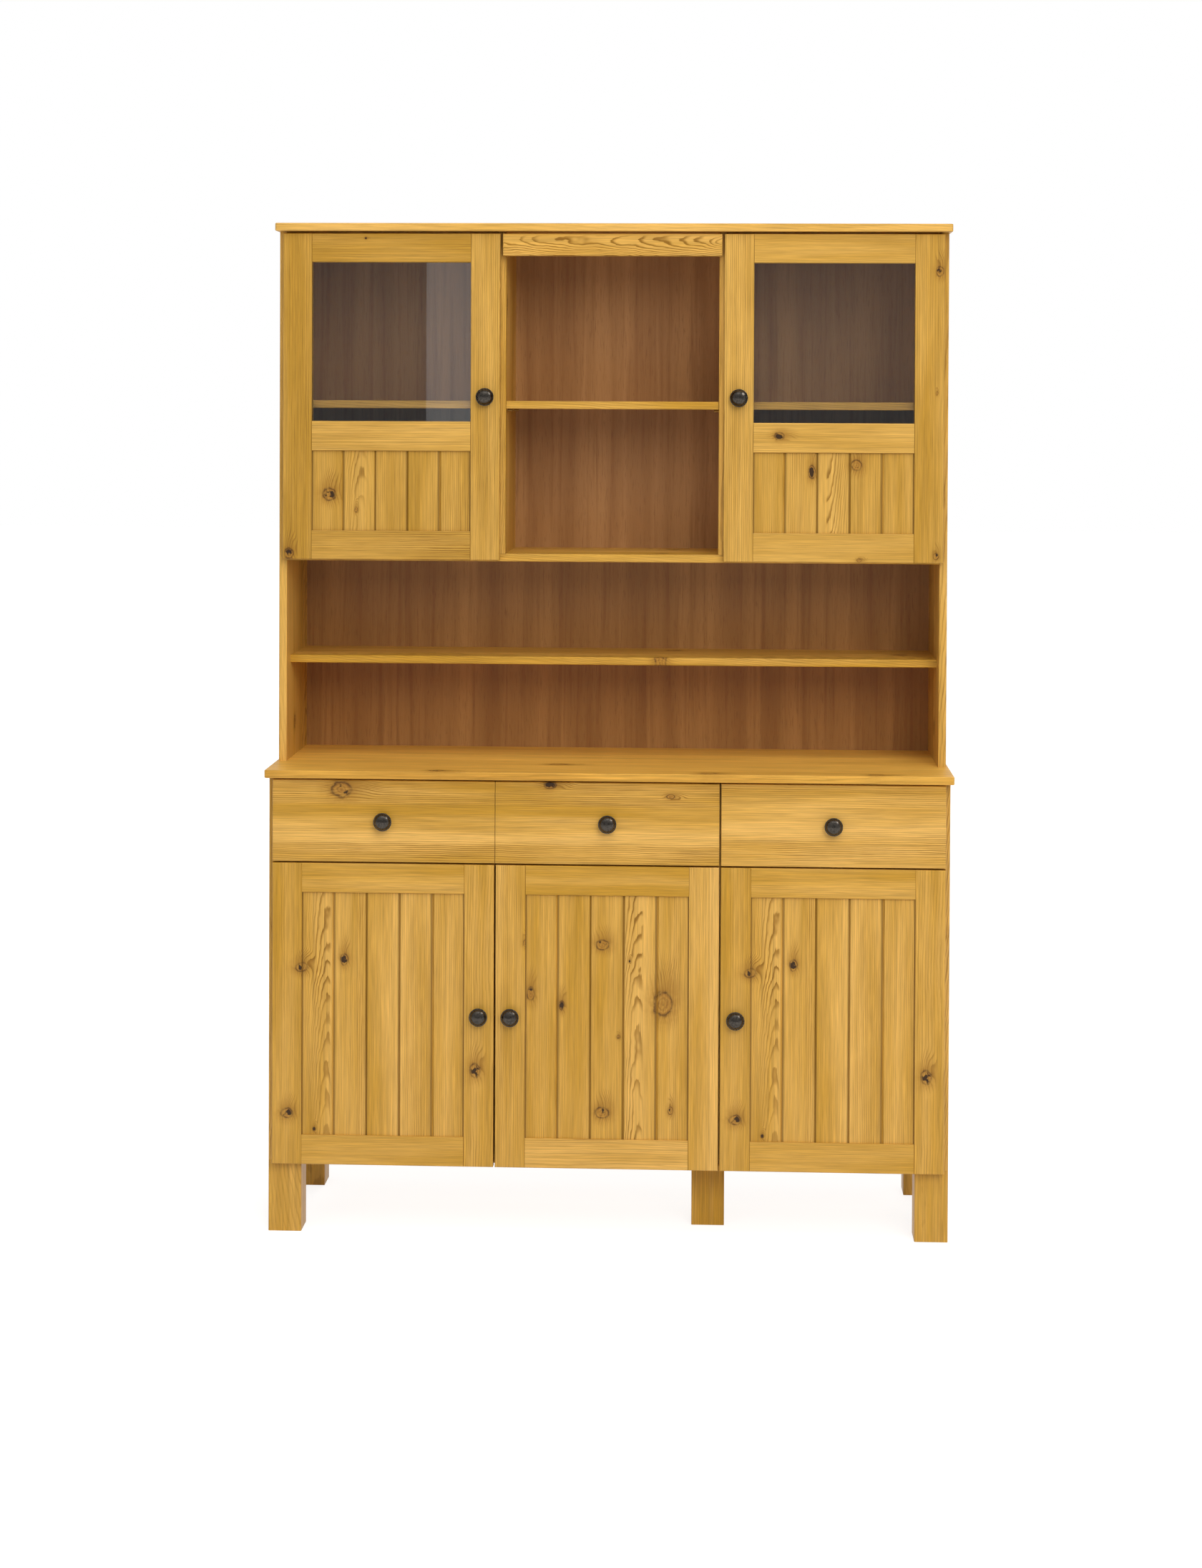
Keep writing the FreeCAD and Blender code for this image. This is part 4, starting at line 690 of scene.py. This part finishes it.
def nickel_steel(name, dark, bright):
    """Brushed steel between two shades."""
    material, tree = new_material(name)
    place = add(tree, "ShaderNodeTexCoord").outputs["Object"]
    measured = add(tree, "ShaderNodeMapping", {
        "Vector": place, "Scale": [length * MM for length in BRUSHING]}, vector_type="TEXTURE")
    brushed = add(tree, "ShaderNodeTexNoise", {
        "Vector": measured, "Scale": 1.0, "Detail": 2.0}).outputs["Fac"]
    color = add(tree, "ShaderNodeMix", (brushed, linear(dark), linear(bright)), data_type="RGBA")
    rough = add(tree, "ShaderNodeMapRange", (brushed, 0.0, 1.0, *STEEL_ROUGHNESS))
    add(tree, "ShaderNodeOutputMaterial", [add(tree, "ShaderNodeBsdfPrincipled", {
        "Base Color": color, "Roughness": rough, "Metallic": 1.0})])
    return material


STEEL = nickel_steel("nickel_plated_steel", "#C6C4BF", "#DDDBD6")
dress(STEEL, "hinge_arms", *[f"{door}_hinge_cups" for door in DOORS])
# Painted shade: the shelf pins' steel is drawn brown and dull.
dress(nickel_steel("shaded_pin_steel", "#8A6836", "#A68048"), "shelf_pins")

# Screw heads of hinges and nail heads of backs: flattened balls, sunk to the middle, screws with a cross
HINGE_SCREW = {
    "Head Radius": 3.3 * MM, "Rise": 1.1 * MM, "Cross Length": 3.8 * MM, "Cross Width": 0.9 * MM, "Sides": 20,
    "Crossed": True, "Finish": STEEL}
BACK_NAIL = {
    "Head Radius": 2.2 * MM, "Rise": 0.15 * MM, "Cross Length": 0.0, "Cross Width": 0.0, "Sides": 12,
    "Crossed": False, "Finish": STEEL}
HEAD_RINGS, SPIN_SEED = 6, 7


def fastener_heads():
    """The geometry tree that sets a head on each point, facing as the point does and turned by chance."""
    tree = bpy.data.node_groups.new("fastener_heads", "GeometryNodeTree")
    for name, kind in (
            ("Points", "Geometry"), ("Head Radius", "Float"), ("Rise", "Float"), ("Cross Length", "Float"),
            ("Cross Width", "Float"), ("Sides", "Int"), ("Crossed", "Bool"), ("Finish", "Material")):
        tree.interface.new_socket(name, in_out="INPUT", socket_type=f"NodeSocket{kind}")
    tree.interface.new_socket("Heads", in_out="OUTPUT", socket_type="NodeSocketGeometry")
    given = add(tree, "NodeGroupInput").outputs
    flatness = add(tree, "ShaderNodeMath", (given["Rise"], given["Head Radius"]), operation="DIVIDE")
    squeeze = add(tree, "ShaderNodeCombineXYZ", (1.0, 1.0, flatness))
    ball = add(tree, "GeometryNodeMeshUVSphere", {
        "Segments": given["Sides"], "Rings": HEAD_RINGS, "Radius": given["Head Radius"]})
    head = add(tree, "GeometryNodeTransform", {"Geometry": ball, "Scale": squeeze})
    top = add(tree, "ShaderNodeCombineXYZ", (0.0, 0.0, given["Rise"]))
    crossed = head
    for length, width in (("Cross Length", "Cross Width"), ("Cross Width", "Cross Length")):
        size = add(tree, "ShaderNodeCombineXYZ", (given[length], given[width], given["Rise"]))
        bar = add(tree, "GeometryNodeTransform", {
            "Geometry": add(tree, "GeometryNodeMeshCube", {"Size": size}), "Translation": top})
        crossed = add(
            tree, "GeometryNodeMeshBoolean", {"Mesh 1": crossed, "Mesh 2": bar}, operation="DIFFERENCE",
            solver="EXACT")
    shape = add(tree, "GeometryNodeSwitch", (given["Crossed"], head, crossed), input_type="GEOMETRY")
    facing = add(tree, "GeometryNodeInputNamedAttribute", {"Name": "facing"}, data_type="FLOAT_VECTOR")
    faced = add(tree, "FunctionNodeAlignRotationToVector", {"Vector": facing}, axis="Z")
    angle = add(tree, "FunctionNodeRandomValue", (0.0, math.pi, None, SPIN_SEED), data_type="FLOAT")
    spin = add(tree, "FunctionNodeAxisAngleToRotation", {"Axis": (0, 0, 1), "Angle": angle})
    turned = add(tree, "FunctionNodeRotateRotation", (faced, spin), rotation_space="LOCAL")
    placed = add(tree, "GeometryNodeInstanceOnPoints", {
        "Points": given["Points"], "Instance": shape, "Rotation": turned})
    real = add(tree, "GeometryNodeRealizeInstances", [placed])
    finished = add(tree, "GeometryNodeSetMaterial", {"Geometry": real, "Material": given["Finish"]})
    add(tree, "NodeGroupOutput", [finished])
    return tree


HEADS = fastener_heads()


def fasten(name, body, sizes, points):
    """Makes one piece of all the heads on a body, from pairs of place and facing."""
    mesh = bpy.data.meshes.new(name)
    mesh.from_pydata([[length * MM for length in place] for place, _ in points], [], [])
    facings = mesh.attributes.new("facing", "FLOAT_VECTOR", "POINT")
    for entry, (_, facing) in zip(facings.data, points):
        entry.vector = facing
    piece = bpy.data.objects.new(name, mesh)
    scene.collection.objects.link(piece)
    modifier = piece.modifiers.new("heads", "NODES")
    modifier.node_group = HEADS
    for socket in HEADS.interface.items_tree:
        if socket.in_out == "INPUT" and socket.name in sizes:
            modifier[socket.identifier] = sizes[socket.name]
    real = bpy.data.meshes.new_from_object(piece.evaluated_get(bpy.context.evaluated_depsgraph_get()))
    piece.modifiers.remove(modifier)
    piece.data = real
    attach(piece, body)


# Cups are screwed to the doors above and below their middles.
CUP_END, CUP_SCREW = 31, 24
for door in DOORS:
    low, high = [[length / MM for length in corner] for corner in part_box(f"{door}_hinge_cups")]
    fasten(f"{door}_cup_screws", door, HINGE_SCREW, [
        (((low[0] + high[0]) / 2, high[1], middle + side * CUP_SCREW), (0, 1, 0))
        for middle in (low[2] + CUP_END, high[2] - CUP_END) for side in (-1, 1)])

# Hinge plates are screwed to the walls above and below their middles.
PLATE_THICK, PLATE_SCREW = 3, 16
# Depth of the screws and heights of the hinges
BASE_HINGES, HUTCH_HINGES = (-120.7, (216.5, 611)), (-12.7, (1342, 1791))
# Each wall's place and the way it faces
LEFT_WALL, PARTITION, RIGHT_WALL = (-620, 1), (201.67, -1), (620, -1)
plate_screws = []
for (wall, side), (depth, heights) in (
        (LEFT_WALL, BASE_HINGES), (PARTITION, BASE_HINGES), (RIGHT_WALL, BASE_HINGES),
        (LEFT_WALL, HUTCH_HINGES), (RIGHT_WALL, HUTCH_HINGES)):
    plate_screws += [
        ((wall + side * PLATE_THICK, depth, height + way * PLATE_SCREW), (side, 0, 0))
        for height in heights for way in (-1, 1)]
fasten("hinge_plate_screws", "carcass", HINGE_SCREW, plate_screws)

# Backs are nailed round their edges and to the uprights and boards that they cross.
NAIL_INSET, NAIL_SPACING = 7, 150
# Each back's uprights and boards
BACKS = {"base_back": ((209.17,), ()), "hutch_back": ((-209.75, 209.75), (1062, CABINET_FLOOR))}
nails = []
for back, (uprights, levels) in BACKS.items():
    low, high = [[length / MM for length in corner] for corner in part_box(back)]
    left, right = low[0] + NAIL_INSET, high[0] - NAIL_INSET
    bottom, top = low[2] + NAIL_INSET, high[2] - NAIL_INSET
    across, up = round((right - left) / NAIL_SPACING), round((top - bottom) / NAIL_SPACING)
    rows = [
        (left + (right - left) * step / across, level)
        for step in range(across + 1) for level in (bottom, top, *levels)]
    columns = [
        (upright, bottom + (top - bottom) * step / up)
        for step in range(1, up) for upright in (left, right, *uprights)]
    nails += [((x, high[1], z), (0, 1, 0)) for x, z in rows + columns]
fasten("back_nails", "carcass", BACK_NAIL, nails)

# Floor: white paper. A part of what shows of it is lit and the rest glows, so that its shadow stays soft.
FLOOR_HALF, FLOOR_DROP = 30.0, 0.5 * MM
FLOOR_LIT, FLOOR_SHOWN = "#F2F1EF", "#9C9B99"
# Distances from the dresser, in metres, and how strongly the floor glows there
GLOW_SPAN, GLOW = (1.5, 5.0), (0.84, 0.92)


def white_floor():
    """The floor's finish, which lights the dresser as plain white paper does."""
    material, tree = new_material("white_studio_floor")
    seen = add(tree, "ShaderNodeLightPath").outputs
    lit = add(tree, "ShaderNodeBsdfDiffuse", {"Color": linear(FLOOR_LIT)})
    shaded = add(tree, "ShaderNodeBsdfDiffuse", {"Color": linear(FLOOR_SHOWN)})
    place = add(tree, "ShaderNodeTexCoord").outputs["Object"]
    far = add(tree, "ShaderNodeVectorMath", [place], operation="LENGTH")
    whiter = add(tree, "ShaderNodeMapRange", (far, *GLOW_SPAN, *GLOW))
    glow = add(tree, "ShaderNodeEmission", {"Color": WHITE, "Strength": whiter})
    shown = add(tree, "ShaderNodeAddShader", (shaded, glow))
    mirrored = add(
        tree, "ShaderNodeMath", (seen["Is Camera Ray"], seen["Is Glossy Ray"]), operation="MAXIMUM")
    any_view = add(tree, "ShaderNodeMath", (mirrored, seen["Is Transmission Ray"]), operation="MAXIMUM")
    add(tree, "ShaderNodeOutputMaterial", [add(tree, "ShaderNodeMixShader", (any_view, lit, shown))])
    return material


floor_mesh = bpy.data.meshes.new("floor")
floor_mesh.from_pydata(
    [(x * FLOOR_HALF, y * FLOOR_HALF, -FLOOR_DROP) for x, y in ((-1, -1), (1, -1), (1, 1), (-1, 1))], [],
    [(0, 1, 2, 3)])
floor_mesh.materials.append(white_floor())
floor = bpy.data.objects.new("floor", floor_mesh)
scene.collection.objects.link(floor)

# Room: white behind the dresser, and dimmer round the camera, which is what knobs and panes mirror
DIM_SIDE, ROOM_LIGHT = 0.35, 0.5
# Upwards, backwards and sideways: the span of directions over which the room brightens, and how far
CEILING, BACK_WALL, SIDE_WALLS = (0.15, 0.80, 0.85), (0.0, 0.8, 0.6), (0.4, 0.9, 0.6)
BEHIND_CAMERA = (-0.95, -0.85)
world = bpy.data.worlds.new("white_studio")
scene.world = world
sky = empty_tree(world)
path = add(sky, "ShaderNodeLightPath").outputs
toward = add(sky, "ShaderNodeTexCoord").outputs["Generated"]
direction = add(sky, "ShaderNodeSeparateXYZ", [toward]).outputs
sideways = add(sky, "ShaderNodeMath", [direction["X"]], operation="ABSOLUTE")
bright = DIM_SIDE
for slope, (low, high, most) in (
        (direction["Z"], CEILING), (direction["Y"], BACK_WALL), (sideways, SIDE_WALLS)):
    shone = add(sky, "ShaderNodeMapRange", (slope, low, high, DIM_SIDE, most))
    bright = add(sky, "ShaderNodeMath", (shone, bright), operation="MAXIMUM")
lighting = add(sky, "ShaderNodeMapRange", (path["Is Diffuse Ray"], 0.0, 1.0, 1.0, ROOM_LIGHT))
strength = add(sky, "ShaderNodeMath", (bright, lighting), operation="MULTIPLY")
room = add(sky, "ShaderNodeBackground", {"Color": WHITE, "Strength": strength})
# Seen through glass, the background is white, but for the part straight behind the camera that panes mirror.
behind = add(sky, "ShaderNodeMapRange", (direction["Y"], *BEHIND_CAMERA, DIM_SIDE, 1.0))
through = add(sky, "ShaderNodeBackground", {"Color": WHITE, "Strength": behind})
white = add(sky, "ShaderNodeBackground", {"Color": WHITE, "Strength": 1.0})
past_glass = add(sky, "ShaderNodeMixShader", (path["Is Transmission Ray"], room, through))
background = add(sky, "ShaderNodeMixShader", (path["Is Camera Ray"], past_glass, white))
add(sky, "ShaderNodeOutputWorld", [background])


def soft_lamp(name, place, target, size, watts, lights=True, mirrored=True):
    """A soft box, which may light surfaces, be mirrored in glossy ones, or both."""
    lamp = bpy.data.lights.new(name, "AREA")
    lamp.shape = "RECTANGLE"
    lamp.size, lamp.size_y = size
    lamp.energy = watts
    lit = bpy.data.objects.new(name, lamp)
    lit.location = place
    lit.rotation_euler = (Vector(target) - Vector(place)).to_track_quat("-Z", "Y").to_euler()
    lit.visible_diffuse = lights
    lit.visible_glossy = mirrored
    scene.collection.objects.link(lit)


# Lamps, in metres: a key and a fill in front, one above, one behind, and two that only show in the knobs
MIDDLE, COUNTER, KNOBS = (0.0, 0.0, 1.0), (0.0, 0.0, 0.9), (0.0, -0.2, 0.9)
soft_lamp("key_softbox", (2.0, -5.2, 3.9), MIDDLE, size=(3.4, 3.4), watts=198, mirrored=False)
soft_lamp("top_softbox", (0.2, -2.2, 5.0), COUNTER, size=(2.6, 2.0), watts=62, mirrored=False)
soft_lamp("rear_fill", (0.8, 5.5, 3.4), MIDDLE, size=(2.4, 2.4), watts=130, mirrored=False)
soft_lamp("knob_sheen", (0.0, -1.5, 5.2), KNOBS, size=(3.0, 0.8), watts=16, lights=False)
soft_lamp("knob_glint", (3.6, -0.6, 4.8), KNOBS, size=(1.2, 1.8), watts=60, lights=False)
soft_lamp("left_fill", (-3.2, -5.0, 3.0), MIDDLE, size=(2.0, 2.0), watts=32, mirrored=False)
# A tall white card beside the camera, which shows in the right-hand part of the left pane
soft_lamp("pane_card", (-0.72, -5.07, 1.8), (-0.72, 0.0, 1.8), size=(0.36, 0.9), watts=0.9)

# Camera at the photographed angle: a long lens at eye height, its frame shifted down to take in the legs
PHOTO_WIDTH, PHOTO_HEIGHT = 1680, 2191
FOCAL_PIXELS, SHIFT_PIXELS = 3792.7, 454.5
SENSOR_HEIGHT = 36.0
CAMERA_PLACE = (0.2083, -5.1982, 1.5404)
YAW, PITCH, ROLL = 0.04448, math.radians(1.0), 0.00448
camera_data = bpy.data.cameras.new("photo_camera")
camera_data.sensor_fit = "VERTICAL"
camera_data.sensor_height = SENSOR_HEIGHT
camera_data.sensor_width = SENSOR_HEIGHT * PHOTO_WIDTH / PHOTO_HEIGHT
camera_data.lens = FOCAL_PIXELS / PHOTO_HEIGHT * SENSOR_HEIGHT
camera_data.shift_y = -SHIFT_PIXELS / PHOTO_HEIGHT
camera = bpy.data.objects.new("photo_camera", camera_data)
camera.location = CAMERA_PLACE
turns = [Euler(turn).to_matrix() for turn in ((0, 0, YAW), (math.radians(90) - PITCH, 0, 0), (0, 0, ROLL))]
camera.rotation_euler = (turns[0] @ turns[1] @ turns[2]).to_euler()
scene.collection.objects.link(camera)
scene.camera = camera
scene.view_settings.view_transform = "Standard"
